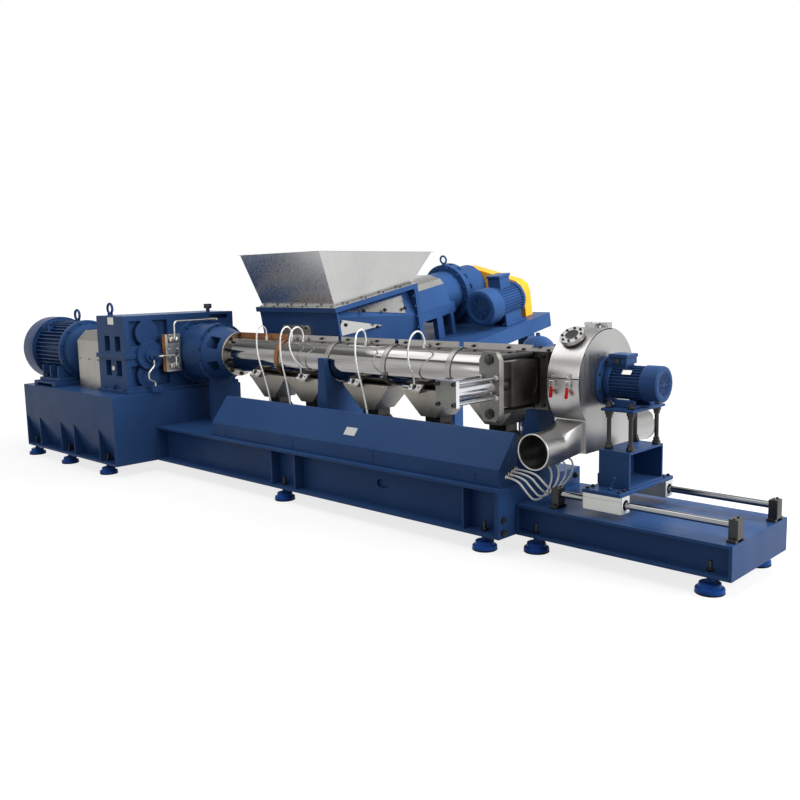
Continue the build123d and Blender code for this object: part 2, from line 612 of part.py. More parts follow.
pieces["cover_bands"] = Compound(children=bands[1:] + strips[1:])
pieces["feed_cover_trim"] = Compound(children=[bands[0], strips[0]])

# Stands under the thrust housing, the barrel and the screen changer
barrel_round = round_x(GEARBOX_RIGHT, CHANGER_LEFT, 0, AXIS_HEIGHT, COVER_RADIUS + BAND_DEPTH)
thrust_stand = block(drum_right - 40, drum_right + 34, -THRUST_STAND_HALF, THRUST_STAND_HALF, FRAME_TOP,
                     AXIS_HEIGHT)
thrust_stand -= round_x(drum_right - 60, drum_right, 0, AXIS_HEIGHT, THRUST_DRUM_RADIUS)
thrust_stand -= round_x(drum_right - 60, drum_right + 60, 0, AXIS_HEIGHT, THRUST_DRUM_RADIUS + 10)
stand_x = zone_ends[2]
stand_left = stand_x - STAND_WIDTH / 2
stand_right = stand_x + STAND_WIDTH / 2
saddle = prism_x(stand_left, stand_right, [(-STAND_HALF, FRAME_TOP), (-STAND_HALF, AXIS_HEIGHT + 40),
                                           (STAND_HALF, AXIS_HEIGHT + 40), (STAND_HALF, FRAME_TOP)])
saddle += prism_y(-STAND_HALF - 12, -STAND_HALF, [(stand_left - 50, FRAME_TOP), (stand_right + 50, FRAME_TOP),
                                                  (stand_right, AXIS_HEIGHT - 80),
                                                  (stand_right, AXIS_HEIGHT + 40),
                                                  (stand_left, AXIS_HEIGHT + 40),
                                                  (stand_left, AXIS_HEIGHT - 80)])
saddle -= barrel_round
saddle -= block(stand_left, stand_right, -COVER_RADIUS - BAND_DEPTH, COVER_RADIUS + BAND_DEPTH,
                AXIS_HEIGHT, AXIS_HEIGHT + 60)
changer_low = AXIS_HEIGHT - CHANGER_HEIGHT / 2
changer_stand = prism_y(-110, 110, [(FRAME_RIGHT - 190, FRAME_TOP), (FRAME_RIGHT - 4, FRAME_TOP),
                                    (FRAME_RIGHT - 4, changer_low), (CHANGER_LEFT, changer_low)])
pieces["support_stands"] = Compound(children=[thrust_stand, saddle, changer_stand])

# Air ducts with their fans and the heater boxes
duct_top = AXIS_HEIGHT - COVER_RADIUS + DUCT_RIM
duct_low = AXIS_HEIGHT - COVER_RADIUS
fan_top = duct_low - DUCT_FALL
ducts = []
fans = []
boxes = []
duct_half = DUCT_TOP_SHARE * ZONE_LENGTH
duct_centres = [start + share * (end - start) for start, end,
                share in zip(zone_ends, zone_ends[1:], DUCT_SHARES)]
box_centres = [centre + offset for centre, offset in zip(duct_centres, BOX_OFFSETS)]
for centre, box_x in zip(duct_centres, box_centres):
    rim = block(centre - duct_half, centre + duct_half, -DUCT_DEPTH_HALF, DUCT_DEPTH_HALF, duct_low, duct_top)
    rim -= round_x(centre - duct_half, centre + duct_half, 0, AXIS_HEIGHT, COVER_RADIUS + BAND_DEPTH)
    wide = [(centre + u * duct_half, v * DUCT_DEPTH_HALF, duct_low - BAND_DEPTH)
            for u, v in ((-1, -1), (1, -1), (1, 1), (-1, 1))]
    narrow = [(centre + u * DUCT_THROAT_HALF, v * DUCT_DEPTH_HALF * 0.85, fan_top)
              for u, v in ((-1, -1), (1, -1), (1, 1), (-1, 1))]
    collar = block(centre - duct_half, centre + duct_half, -DUCT_DEPTH_HALF, DUCT_DEPTH_HALF,
                   duct_low - BAND_DEPTH, duct_low)
    collar -= round_x(centre - duct_half, centre + duct_half, 0, AXIS_HEIGHT, COVER_RADIUS + BAND_DEPTH)
    ducts.append(skin([wide, narrow]) + collar + rim)
    fan_z = FRAME_TOP + FAN_RADIUS
    fan = round_y(-FAN_WIDTH / 2, FAN_WIDTH / 2, centre, fan_z, FAN_RADIUS)
    fan += block(centre - DUCT_THROAT_HALF, centre + DUCT_THROAT_HALF, -FAN_WIDTH / 2, FAN_WIDTH / 2,
                 FRAME_TOP, fan_top)
    fan += block(centre - FAN_RADIUS * 0.7, centre + FAN_RADIUS * 0.7, -FAN_WIDTH / 2, FAN_WIDTH / 2,
                 FRAME_TOP, fan_z)
    fans.append(fan)
    boxes.append(block(box_x - BOX_WIDTH / 2, box_x + BOX_WIDTH / 2, -DUCT_DEPTH_HALF - BOX_DEPTH,
                       -DUCT_DEPTH_HALF,
                       duct_low - BAND_DEPTH, duct_low - BAND_DEPTH + BOX_HEIGHT))
pieces["cooling_ducts"] = Compound(children=ducts)
pieces["cooling_fans"] = Compound(children=fans)
pieces["heater_boxes"] = Compound(children=boxes)

# Folded guard along the front of the main frame
guard_fold = FRAME_TOP + SIDE_GUARD_SKIRT
guard_top = FRAME_TOP + SIDE_GUARD_HEIGHT
guard_front = -SIDE_GUARD_FRONT
guard_crest = guard_front + SIDE_GUARD_LEAN
guard_lip = guard_crest + SIDE_GUARD_LIP
side_guard_left = BARREL_START + SIDE_GUARD_START
guard_right = FRAME_RIGHT - SIDE_GUARD_END
guard_out = [(guard_front, FRAME_TOP), (guard_front, guard_fold), (guard_crest, guard_top),
             (guard_lip, guard_top)]
side_guard = prism_x(side_guard_left, guard_right, guard_out + [(guard_lip, FRAME_TOP)])
fold_in = guard_fold - SIDE_GUARD_SHEET * 0.3
guard_in = [(guard_front + SIDE_GUARD_SHEET, FRAME_TOP), (guard_front + SIDE_GUARD_SHEET, fold_in),
            (guard_crest + SIDE_GUARD_SHEET * 0.7, guard_top - SIDE_GUARD_SHEET),
            (guard_lip, guard_top - SIDE_GUARD_SHEET), (guard_lip, FRAME_TOP)]
side_guard -= prism_x(side_guard_left + SIDE_GUARD_SHEET, guard_right - SIDE_GUARD_SHEET, guard_in)
pieces["side_guard"] = side_guard

# Side feeder
trough_low = -FLANGE_THICK / 2
trough_high = FLANGE_THICK / 2
front_plate = -PLATE
rear_plate = TROUGH_END - 50


def trough_ring(s, crease_half, crease, bottom_half, bottom, inset):
    """The trough's six-sided cross section at one place along it."""
    mouth = TROUGH_MOUTH_HALF - inset
    wide = crease_half - inset
    foot = bottom_half - inset
    top = trough_low + (inset > 0) * 1.0
    ring = [(-mouth, top), (mouth, top), (wide, crease), (foot, bottom + inset), (-foot, bottom + inset),
            (-wide, crease)]
    return make_face(Polyline(*[(u, s, n) for u, n in ring], close=True))


def trough_solid(start, end, inset):
    """The trough body between two places, drawn in by the inset."""
    front = trough_ring(start, FRONT_CREASE_HALF, -FRONT_CREASE_DROP, FRONT_BOTTOM_HALF, -TROUGH_FRONT_DEPTH,
                        inset)
    rear = trough_ring(end, REAR_CREASE_HALF, -REAR_CREASE_DROP, REAR_BOTTOM_HALF, -TROUGH_REAR_DEPTH, inset)
    return loft([front, rear], ruled=True)


flange = block(-TROUGH_HALF, TROUGH_HALF, TROUGH_START, TROUGH_END, trough_low, trough_high)
flange -= block(-TROUGH_MOUTH_HALF + TROUGH_WALL, TROUGH_MOUTH_HALF - TROUGH_WALL, PLATE, rear_plate - PLATE,
                trough_low, trough_high)
trough = trough_solid(0, rear_plate, 0) - trough_solid(PLATE, rear_plate - PLATE, TROUGH_WALL)
trough += flange
trough += block(-TROUGH_HALF + PLATE, TROUGH_HALF - PLATE, front_plate, 0, -TROUGH_FRONT_DEPTH - 30,
                trough_low)
trough += block(-TROUGH_HALF, TROUGH_HALF, rear_plate, TROUGH_END, -DECK_DROP, trough_low)
pieces["feeder_trough"] = FEEDER_PLACE * trough

throat_top = -THROAT_DROP
throat_low = -TROUGH_FRONT_DEPTH - 30
throat = block(-THROAT_FLANGE_HALF, THROAT_FLANGE_HALF, front_plate - THROAT_FLANGE_DEPTH, front_plate,
               throat_low, throat_top)
throat += block(-THROAT_HALF, THROAT_HALF, front_plate - THROAT_LENGTH, front_plate - THROAT_FLANGE_DEPTH,
                throat_low, throat_top - 20)
throat = FEEDER_PLACE * throat
throat -= round_x(BARREL_START, FEED_ZONE_END + ZONE_LENGTH, 0, AXIS_HEIGHT, COVER_RADIUS)
pieces["feed_throat"] = throat

hopper_rear = rear_plate + 25


def hopper_rings(inset):
    """The hopper's mouth on the flange and its level rim, drawn in by the inset."""
    low_half = HOPPER_MOUTH_HALF - inset
    top_half = HOPPER_TOP_HALF - inset
    corners = [(-low_half, inset), (low_half, inset), (low_half, hopper_rear - inset),
               (-low_half, hopper_rear - inset)]
    mouth = [(FEEDER_PLACE * Pos(u, s, trough_high)).position for u, s in corners]
    rim_front = FEEDER_Y - HOPPER_FRONT_REACH + inset
    rim_back = FEEDER_Y + HOPPER_BACK_REACH - inset
    rim = [(FEEDER_X - top_half, rim_front), (FEEDER_X + top_half, rim_front),
           (FEEDER_X + top_half, rim_back), (FEEDER_X - top_half, rim_back)]
    return [mouth, [Vector(x, y, HOPPER_TOP) for x, y in rim]]


pieces["feeder_hopper"] = skin(hopper_rings(0)) - skin(hopper_rings(HOPPER_SHEET))

lantern_end = TROUGH_END + LANTERN_LENGTH
lantern_top = -LANTERN_TOP_DROP
lantern_low = lantern_top - LANTERN_HEIGHT
ledge_low = lantern_low - LEDGE_HEIGHT
ledge_end = lantern_end + LEDGE_REACH
lantern = prism_y(TROUGH_END, lantern_end, [(-LANTERN_HALF, lantern_top), (LANTERN_HALF, lantern_top),
                                            (LANTERN_FOOT_HALF, lantern_low),
                                            (-LANTERN_FOOT_HALF, lantern_low)])
ledge = block(-LEDGE_HALF, LEDGE_HALF, TROUGH_END, ledge_end, ledge_low, lantern_low)
ledge_corners = ledge.edges().filter_by(Axis.Z).group_by(Axis.Y)[-1]
lantern += chamfer(ledge_corners, LEDGE_CORNER)
lantern -= round_y(lantern_end, ledge_end, 0, -GEAR_UNIT_DROP, GEAR_BOSS_RADIUS)
for post_start, post_depth in zip(POST_STARTS, POST_DEPTHS):
    post_s = TROUGH_END + post_start
    for side in (-1, 1):
        post_u = side * (LEDGE_HALF - POST_WIDTH / 2)
        lantern += block(post_u - POST_WIDTH / 2, post_u + POST_WIDTH / 2, post_s, post_s + post_depth,
                         -DECK_DROP, ledge_low)
pieces["feeder_lantern"] = FEEDER_PLACE * lantern

roof = [(1.0, 0.0), (0.86, 0.56), (0.36, 1.0), (-0.36, 1.0), (-0.86, 0.56), (-1.0, 0.0)]
lantern_cover = prism_y(TROUGH_END, lantern_end, [(u * LANTERN_HALF, lantern_top + n * LANTERN_ROOF) for u,
                                                  n in roof])
cover_plates = [lantern_cover]
trough_hull = trough_solid(0, rear_plate, 0)
plate_room = trough_solid(0, rear_plate, -COVER_PLATE) - trough_hull
upper_plate = [(0.16, 0.16), (0.9, 0.2), (0.86, 0.72)]
lower_plate = [(0.043, 0.33), (0.043, 0.82), (0.556, 0.87)]
for left, right in ((-TROUGH_HALF, 0), (0, TROUGH_HALF)):
    for shares in (upper_plate, lower_plate):
        outline = [(along * rear_plate, -down * TROUGH_FRONT_DEPTH) for along, down in shares]
        cover_plates.append(prism_x(left, right, outline) & plate_room)
pieces["trough_cover_plates"] = FEEDER_PLACE * Compound(children=cover_plates)

gear_start = lantern_end + GEAR_UNIT_GAP
gear_ring_end = gear_start + GEAR_RING_DEPTH
gear_rim_end = gear_start + GEAR_UNIT_RIM
gear_end = gear_rim_end + GEAR_BODY_LENGTH
gear_unit = round_y(lantern_end, gear_start, 0, -GEAR_UNIT_DROP, GEAR_BOSS_RADIUS)
gear_unit += round_y(gear_start, gear_ring_end, 0, -GEAR_UNIT_DROP, GEAR_UNIT_RADIUS)
gear_unit += Pos(0, gear_ring_end, -GEAR_UNIT_DROP) * Rot(-90, 0, 0) * Cone(
    GEAR_UNIT_RADIUS, GEAR_UNIT_RADIUS * 0.88, gear_rim_end - gear_ring_end, align=LOW)
gear_unit += round_y(gear_rim_end, gear_end, 0, -GEAR_UNIT_DROP, GEAR_BODY_RADIUS)
gear_unit += block(-GEAR_UNIT_RADIUS * 0.8, GEAR_UNIT_RADIUS * 0.8, gear_rim_end - 90, gear_end - 40,
                   -DECK_DROP, -GEAR_UNIT_DROP)
pieces["feeder_gear_unit"] = FEEDER_PLACE * gear_unit

feed_motor_start = gear_start - FEED_MOTOR_LEAD
feed_motor_end = feed_motor_start + FEED_MOTOR_LENGTH
feed_cowl_end = feed_motor_start + FEED_COWL_LENGTH
feed_motor = round_y(feed_motor_start, feed_cowl_end, FEED_MOTOR_X, -FEED_MOTOR_DROP, FEED_COWL_RADIUS)
feed_motor += round_y(feed_cowl_end, feed_motor_end, FEED_MOTOR_X, -FEED_MOTOR_DROP, FEED_MOTOR_RADIUS)
feed_motor += block(FEED_MOTOR_X - 140, FEED_MOTOR_X + 140, feed_cowl_end + 120, feed_motor_end - 60,
                    -DECK_DROP, -DECK_DROP + 60)
feed_motor += block(FEED_MOTOR_X - 95, FEED_MOTOR_X + 95, feed_cowl_end + 120, feed_motor_end - 60,
                    -DECK_DROP + 60, -FEED_MOTOR_DROP)
feed_motor += block(FEED_MOTOR_X - 85, FEED_MOTOR_X + 85, feed_cowl_end + 90, feed_cowl_end + 260,
                    -FEED_MOTOR_DROP, -FEED_MOTOR_DROP + FEED_MOTOR_RADIUS + 110)
pieces["feeder_motor"] = FEEDER_PLACE * feed_motor

belt_start = gear_end + BELT_GUARD_GAP
belt_end = belt_start + BELT_GUARD_DEPTH
belt_guard = round_y(belt_start, belt_end, 0, -GEAR_UNIT_DROP, BELT_BIG_RADIUS)
motor_crest = BELT_SMALL_RADIUS - FEED_MOTOR_DROP
edge_u = FEED_MOTOR_X + BELT_EDGE
foot_u = edge_u - BELT_FOOT_WIDTH
belt_turn = math.radians(73)
belt_outline = [(BELT_BIG_RADIUS * math.cos(belt_turn),
                 BELT_BIG_RADIUS * math.sin(belt_turn) - GEAR_UNIT_DROP),
                (FEED_MOTOR_X - 40, motor_crest), (edge_u - 19, motor_crest - 52),
                (edge_u, motor_crest - 127),
                (edge_u, -DECK_DROP), (foot_u, -DECK_DROP), (foot_u - 20, -DECK_DROP + 90),
                (FEED_MOTOR_X * 0.47, -GEAR_UNIT_DROP - BELT_BIG_RADIUS + 8),
                (0, -GEAR_UNIT_DROP - BELT_BIG_RADIUS)]
belt_guard += prism_y(belt_start, belt_end, belt_outline)
belt_guard += round_y(gear_end, belt_start, 0, -GEAR_UNIT_DROP, 60)
belt_guard += round_y(feed_motor_end, belt_start, FEED_MOTOR_X, -FEED_MOTOR_DROP, 30)
belt_guard += block(-25, 25, belt_start + 20, belt_end - 20, -DECK_DROP, -GEAR_UNIT_DROP)
pieces["belt_guard"] = FEEDER_PLACE * belt_guard

deck_low = -DECK_DROP - DECK_DEPTH
deck_start = TROUGH_END - DECK_LEAD
deck_end = belt_end + DECK_TAIL
deck = block(-DECK_LEFT, DECK_RIGHT, deck_start, deck_end, deck_low, -DECK_DROP) - trough
pieces["feeder_deck"] = FEEDER_PLACE * deck

deck_room = FEEDER_PLACE * block(-DECK_LEFT - 500, DECK_RIGHT + 500, deck_start - 500, deck_end + 500,
                                 deck_low, deck_low + 3000)
legs = []
for leg_u in (-DECK_LEFT + LEG_WIDTH / 2, DECK_RIGHT - LEG_WIDTH / 2):
    for leg_s in (deck_start + 1.5 * LEG_WIDTH, deck_end - 3 * LEG_WIDTH):
        foot = (FEEDER_PLACE * Pos(leg_u, leg_s, deck_low)).position
        leg = block(foot.X - LEG_WIDTH / 2, foot.X + LEG_WIDTH / 2, foot.Y - LEG_WIDTH / 2,
                    foot.Y + LEG_WIDTH / 2,
                    PLATE, AXIS_HEIGHT + 600)
        leg += block(foot.X - LEG_WIDTH, foot.X + LEG_WIDTH, foot.Y - LEG_WIDTH, foot.Y + LEG_WIDTH, 0, PLATE)
        legs.append(leg - deck_room)
pieces["feeder_stand"] = Compound(children=legs)

# Screen changer with its cylinder
slot_half = SLIDE_THICK / 2 + MOVE_GAP
slot_high = SLIDE_HEIGHT / 2 + MOVE_GAP
changer = block(CHANGER_LEFT, CHANGER_RIGHT, -CHANGER_HALF, CHANGER_HALF, changer_low,
                changer_low + CHANGER_HEIGHT)
changer -= block(CHANGER_X - slot_half, CHANGER_X + slot_half, -CHANGER_HALF, CHANGER_HALF,
                 AXIS_HEIGHT - slot_high, AXIS_HEIGHT + slot_high)
pieces["screen_changer_body"] = changer

plate_front = MOUNT_PLATE_Y
plate_back = MOUNT_PLATE_Y + MOUNT_PLATE_DEPTH
plate_half = MOUNT_PLATE_WIDTH / 2
plate_high = MOUNT_PLATE_HEIGHT / 2
corner = plate_half * 0.6
outline = [(-plate_half, corner - plate_high), (-plate_half, plate_high - corner), (-corner, plate_high),
           (corner, plate_high), (plate_half, plate_high - corner), (plate_half, corner - plate_high),
           (corner, -plate_high), (-corner, -plate_high)]
mount_plate = prism_y(plate_front, plate_back, [(CHANGER_X + x, AXIS_HEIGHT + z) for x, z in outline])
rod_room = SLIDE_ROD_RADIUS + MOVE_GAP
mount_plate -= round_y(plate_front, plate_back, CHANGER_X, AXIS_HEIGHT, SLIDE_ROD_RADIUS + RUNNING_FIT)
for side in (-1, 1):
    mount_plate += round_y(plate_back, -CHANGER_HALF, CHANGER_X, AXIS_HEIGHT + side * TIE_ROD_OFFSET,
                           TIE_ROD_RADIUS)
pieces["cylinder_mount_plate"] = mount_plate

cylinder_front = plate_front - CYLINDER_LENGTH
cylinder = round_y(cylinder_front, plate_front, CHANGER_X, AXIS_HEIGHT, CYLINDER_RADIUS)
cylinder -= round_y(cylinder_front, plate_front, CHANGER_X, AXIS_HEIGHT, rod_room)
cylinder += block(CHANGER_X - CAP_SIZE / 2, CHANGER_X + CAP_SIZE / 2, cylinder_front - CAP_DEPTH,
                  cylinder_front,
                  AXIS_HEIGHT - CAP_SIZE / 2, AXIS_HEIGHT + CAP_SIZE / 2)
for side_x in (-1, 1):
    for side_z in (-1, 1):
        cylinder += round_y(cylinder_front, plate_front, CHANGER_X + side_x * CYLINDER_TIE_OFFSET,
                            AXIS_HEIGHT + side_z * CYLINDER_TIE_OFFSET, CYLINDER_TIE_RADIUS)
pieces["slide_cylinder"] = cylinder

slide = block(CHANGER_X - SLIDE_THICK / 2, CHANGER_X + SLIDE_THICK / 2, -SLIDE_FRONT, SLIDE_BACK,
              AXIS_HEIGHT - SLIDE_HEIGHT / 2, AXIS_HEIGHT + SLIDE_HEIGHT / 2)
for screen_y in (-SLIDE_STROKE, 0):
    for face in (CHANGER_X - SLIDE_THICK / 2, CHANGER_X + SLIDE_THICK / 2 - SCREEN_RECESS):
        slide -= round_x(face, face + SCREEN_RECESS, screen_y, AXIS_HEIGHT, SCREEN_RADIUS)
slide += round_y(-SLIDE_FRONT - SLIDE_ROD_LENGTH, -SLIDE_FRONT, CHANGER_X, AXIS_HEIGHT, SLIDE_ROD_RADIUS)
pieces["screen_slide"] = slide

pieces["die_head"] = round_x(CHANGER_RIGHT, CHANGER_RIGHT + DIE_LENGTH, 0, AXIS_HEIGHT, DIE_RADIUS)

bottle_low = FRAME_TOP + ACCUMULATOR_NECK
bottle_x = CHANGER_LEFT - ACCUMULATOR_SETBACK
bottle = round_z(bottle_low, ACCUMULATOR_TOP, bottle_x, ACCUMULATOR_Y, ACCUMULATOR_RADIUS)
bottle = fillet(bottle.edges().group_by(Axis.Z)[0], ACCUMULATOR_RADIUS * 0.6)
bottle = fillet(bottle.edges().group_by(Axis.Z)[-1], ACCUMULATOR_RADIUS * 0.94)
bottle += round_z(FRAME_TOP, bottle_low + 10, bottle_x, ACCUMULATOR_Y, ACCUMULATOR_RADIUS * 0.4)
bottle += round_z(ACCUMULATOR_TOP - 6, ACCUMULATOR_TOP + ACCUMULATOR_VALVE, bottle_x, ACCUMULATOR_Y, 15)
pieces["accumulator"] = bottle

# Rails and their end blocks
left_blocks = FRAME_RIGHT + LEFT_BLOCK_INSET
right_blocks = RAIL_BASE_RIGHT - RIGHT_BLOCK_INSET - END_BLOCK_LENGTH
rails = []
blocks = []
for side in (-1, 1):
    rail_y = side * RAIL_Y
    rails.append(round_x(left_blocks + END_BLOCK_LENGTH, right_blocks, rail_y, RAIL_Z, RAIL_RADIUS))
    for left in (left_blocks, right_blocks):
        blocks.append(block(left, left + END_BLOCK_LENGTH, rail_y - END_BLOCK_HALF, rail_y + END_BLOCK_HALF,
                            RAIL_BASE_TOP, RAIL_BASE_TOP + END_BLOCK_HEIGHT))
pieces["guide_rails"] = Compound(children=rails)
pieces["rail_end_blocks"] = Compound(children=blocks)

# Carriage
bearings = []
for side in (-1, 1):
    bearing = block(BEARING_LEFT, BEARING_LEFT + BEARING_LENGTH, side * RAIL_Y - BEARING_HALF,
                    side * RAIL_Y + BEARING_HALF, BEARING_BOTTOM, CARRIAGE_BOTTOM)
    bearing -= round_x(BEARING_LEFT, BEARING_LEFT + BEARING_LENGTH, side * RAIL_Y, RAIL_Z,
                       RAIL_RADIUS + RUNNING_FIT)
    bearings.append(bearing)
pieces["bearing_blocks"] = Compound(children=bearings)
pieces["carriage_plate"] = block(BEARING_LEFT, BEARING_LEFT + BEARING_LENGTH, -CARRIAGE_HALF, CARRIAGE_HALF,
                                 CARRIAGE_BOTTOM, CARRIAGE_TOP)
stand_box_right = STAND_BOX_LEFT + STAND_BOX_LENGTH
stand_box = block(STAND_BOX_LEFT, stand_box_right, -STAND_BOX_HALF, STAND_BOX_HALF, CARRIAGE_TOP,
                  STAND_BOX_TOP)
stand_box -= block(STAND_BOX_LEFT + STAND_BOX_WALL, stand_box_right, -STAND_BOX_HALF + STAND_BOX_WALL,
                   STAND_BOX_HALF - STAND_BOX_WALL, CARRIAGE_TOP + STAND_BOX_WALL,
                   STAND_BOX_TOP - STAND_BOX_WALL)
pieces["stand_box"] = stand_box
motor_plate_low = MOTOR_PLATE_TOP - MOTOR_PLATE
pieces["stand_rods"] = Compound(children=[round_z(STAND_BOX_TOP, motor_plate_low, x, side * ROD_Y, ROD_RADIUS)
                                          for x in ROD_X for side in (-1, 1)])
pieces["motor_plate"] = block(ROD_X[0] - 36, ROD_X[1] + 36, -MOTOR_PLATE_HALF, MOTOR_PLATE_HALF,
                              motor_plate_low, MOTOR_PLATE_TOP)

flange_right = HOOD_RIGHT + CUTTER_FLANGE_DEPTH
cutter_right = flange_right + CUTTER_BODY_LENGTH
cutter_motor = round_x(HOOD_RIGHT, flange_right, 0, AXIS_HEIGHT, CUTTER_FLANGE_RADIUS)
cutter_motor += round_x(flange_right, cutter_right, 0, AXIS_HEIGHT, CUTTER_MOTOR_RADIUS)
cutter_motor += round_x(cutter_right, cutter_right + CUTTER_COWL_LENGTH, 0, AXIS_HEIGHT, CUTTER_COWL_RADIUS)
cutter_motor += block(ROD_X[0] - 20, ROD_X[1] + 20, -ROD_Y + 30, ROD_Y - 30, MOTOR_PLATE_TOP,
                      MOTOR_PLATE_TOP + 14)
cutter_motor += block(ROD_X[0] - 10, ROD_X[1] + 10, -70, 70, MOTOR_PLATE_TOP + 14, AXIS_HEIGHT)
cutter_motor += block(flange_right + 30, flange_right + 30 + CUTTER_BOX_LENGTH, -62, 62, AXIS_HEIGHT,
                      AXIS_HEIGHT + CUTTER_MOTOR_RADIUS + 70)
pieces["pelletizer_motor"] = cutter_motor


def sector(radius, start, end):
    """A wedge about the hood's axis between two angles, wide enough for the hood."""
    outer = radius / math.cos(math.radians((end - start) / 4))
    angles = (start, (start + end) / 2, end)
    rays = [(outer * math.cos(math.radians(angle)),
             outer * math.sin(math.radians(angle))) for angle in angles]
    return [(0, AXIS_HEIGHT)] + [(y, AXIS_HEIGHT + z) for y, z in rays]


def keyhole(x0, x1, radius, half, bottom):
    """The hood's outline: a drum with a box below it."""
    return round_x(x0, x1, 0, AXIS_HEIGHT, radius) + block(x0, x1, -half, half, bottom, AXIS_HEIGHT)


skin_in = HOOD_RADIUS - SHEET
gap_turn = math.degrees(MOVE_GAP / HOOD_RADIUS)
hood = keyhole(HOOD_LEFT, HOOD_RIGHT, HOOD_RADIUS, HOOD_BOX_HALF, HOOD_BOX_BOTTOM)
hood -= keyhole(HOOD_LEFT + SHEET, HOOD_RIGHT - SHEET, skin_in, HOOD_BOX_HALF - SHEET,
                HOOD_BOX_BOTTOM + SHEET)
door_room = prism_x(HOOD_LEFT, HOOD_RIGHT, sector(2 * HOOD_RADIUS, DOOR_HINGE_ANGLE, DOOR_SEAM_ANGLE))
door_room -= round_x(HOOD_LEFT, HOOD_RIGHT, 0, AXIS_HEIGHT, skin_in - MOVE_GAP)
hood -= door_room
hood -= round_x(HOOD_LEFT, HOOD_LEFT + SHEET, 0, AXIS_HEIGHT, DIE_RADIUS + 4 * MOVE_GAP)
mouth_left = HOOD_LEFT + 4 * SHEET
mouth_right = HOOD_RIGHT - 4 * SHEET
mouth_low = HOOD_BOX_BOTTOM + 3 * SHEET
for side in (-1, 1):
    wall_a = side * (HOOD_BOX_HALF - SHEET)
    wall_b = side * HOOD_BOX_HALF
    hood -= block(mouth_left, mouth_right, min(wall_a, wall_b), max(wall_a, wall_b), mouth_low,
                  OUTLET_MOUTH_TOP)
hinge_reach = HOOD_RADIUS + HINGE_RISE
hinge_y = hinge_reach * math.cos(math.radians(DOOR_HINGE_ANGLE))
hinge_z = AXIS_HEIGHT + hinge_reach * math.sin(math.radians(DOOR_HINGE_ANGLE))
hood_middle = (HOOD_LEFT + HOOD_RIGHT) / 2
knuckle_half = HINGE_WIDTH / 2
for side in (-1, 1):
    hinge_x = hood_middle + side * (HINGE_WIDTH + MOVE_GAP)
    hood += block(hinge_x - knuckle_half, hinge_x + knuckle_half, hinge_y - 10, hinge_y + 46, hinge_z - 10,
                  hinge_z + 10)
    hood += block(hinge_x - knuckle_half, hinge_x + knuckle_half, hinge_y, hinge_y + 46, hinge_z - 28,
                  hinge_z - 10)
hood -= round_x(HOOD_LEFT + SHEET, HOOD_RIGHT - SHEET, 0, AXIS_HEIGHT, skin_in)
hood += round_x(hood_middle - 1.5 * HINGE_WIDTH, hood_middle + 1.5 * HINGE_WIDTH, hinge_y, hinge_z, HINGE_PIN)
pieces["hood_shell"] = hood
print("hood door hinge", round(hinge_y, 3), round(hinge_z, 3))

door = round_x(HOOD_LEFT, HOOD_RIGHT, 0, AXIS_HEIGHT, HOOD_RADIUS) - round_x(HOOD_LEFT, HOOD_RIGHT, 0,
                                                                             AXIS_HEIGHT, skin_in)
door &= prism_x(HOOD_LEFT, HOOD_RIGHT, sector(2 * HOOD_RADIUS, DOOR_HINGE_ANGLE + gap_turn,
                                              DOOR_SEAM_ANGLE - gap_turn))
sight_x = HOOD_LEFT + HOOD_LENGTH * SIGHT_SHARE
sight = Pos(sight_x, 0, AXIS_HEIGHT) * Rot(SIGHT_ANGLE - 90, 0, 0) * Pos(0, 0, HOOD_RADIUS - 30)
sight_pipe = sight * Cylinder(SIGHT_RADIUS * 0.6, 40, align=LOW) - round_x(HOOD_LEFT, HOOD_RIGHT, 0,
                                                                           AXIS_HEIGHT, skin_in)
door += sight_pipe
door += sight * Pos(0, 0, 40) * Cylinder(SIGHT_RADIUS, SIGHT_DEPTH, align=LOW)
knuckle_left = hood_middle - knuckle_half
knuckle_right = hood_middle + knuckle_half
leaf = block(knuckle_left, knuckle_right, hinge_y - 55, hinge_y - 8, AXIS_HEIGHT, hinge_z + 6)
door += leaf - round_x(knuckle_left, knuckle_right, 0, AXIS_HEIGHT, skin_in)
door += round_x(knuckle_left, knuckle_right, hinge_y, hinge_z, 2 * HINGE_PIN)
door -= round_x(knuckle_left, knuckle_right, hinge_y, hinge_z, HINGE_PIN + RUNNING_FIT)
pieces["hood_door"] = door


def round_ring(y, radius):
    """The outlet's round end as four arcs that face the mouth's four sides."""
    middle_x = (mouth_left + mouth_right) / 2
    spots = [(middle_x + radius * math.cos(math.radians(angle)), y,
              OUTLET_Z + radius * math.sin(math.radians(angle)))
             for angle in range(225, 225 + 360, 45)]
    arcs = [ThreePointArc(spots[k], spots[k + 1], spots[(k + 2) % 8]) for k in (0, 2, 4, 6)]
    return make_face(Wire(arcs))


def square_ring(y, inset):
    """The outlet's square mouth at the hood box."""
    low = mouth_low + inset
    high = OUTLET_MOUTH_TOP - inset
    corners = [(mouth_left + inset, y, low), (mouth_right - inset, y, low),
               (mouth_right - inset, y, high), (mouth_left + inset, y, high)]
    return make_face(Polyline(*corners, close=True))


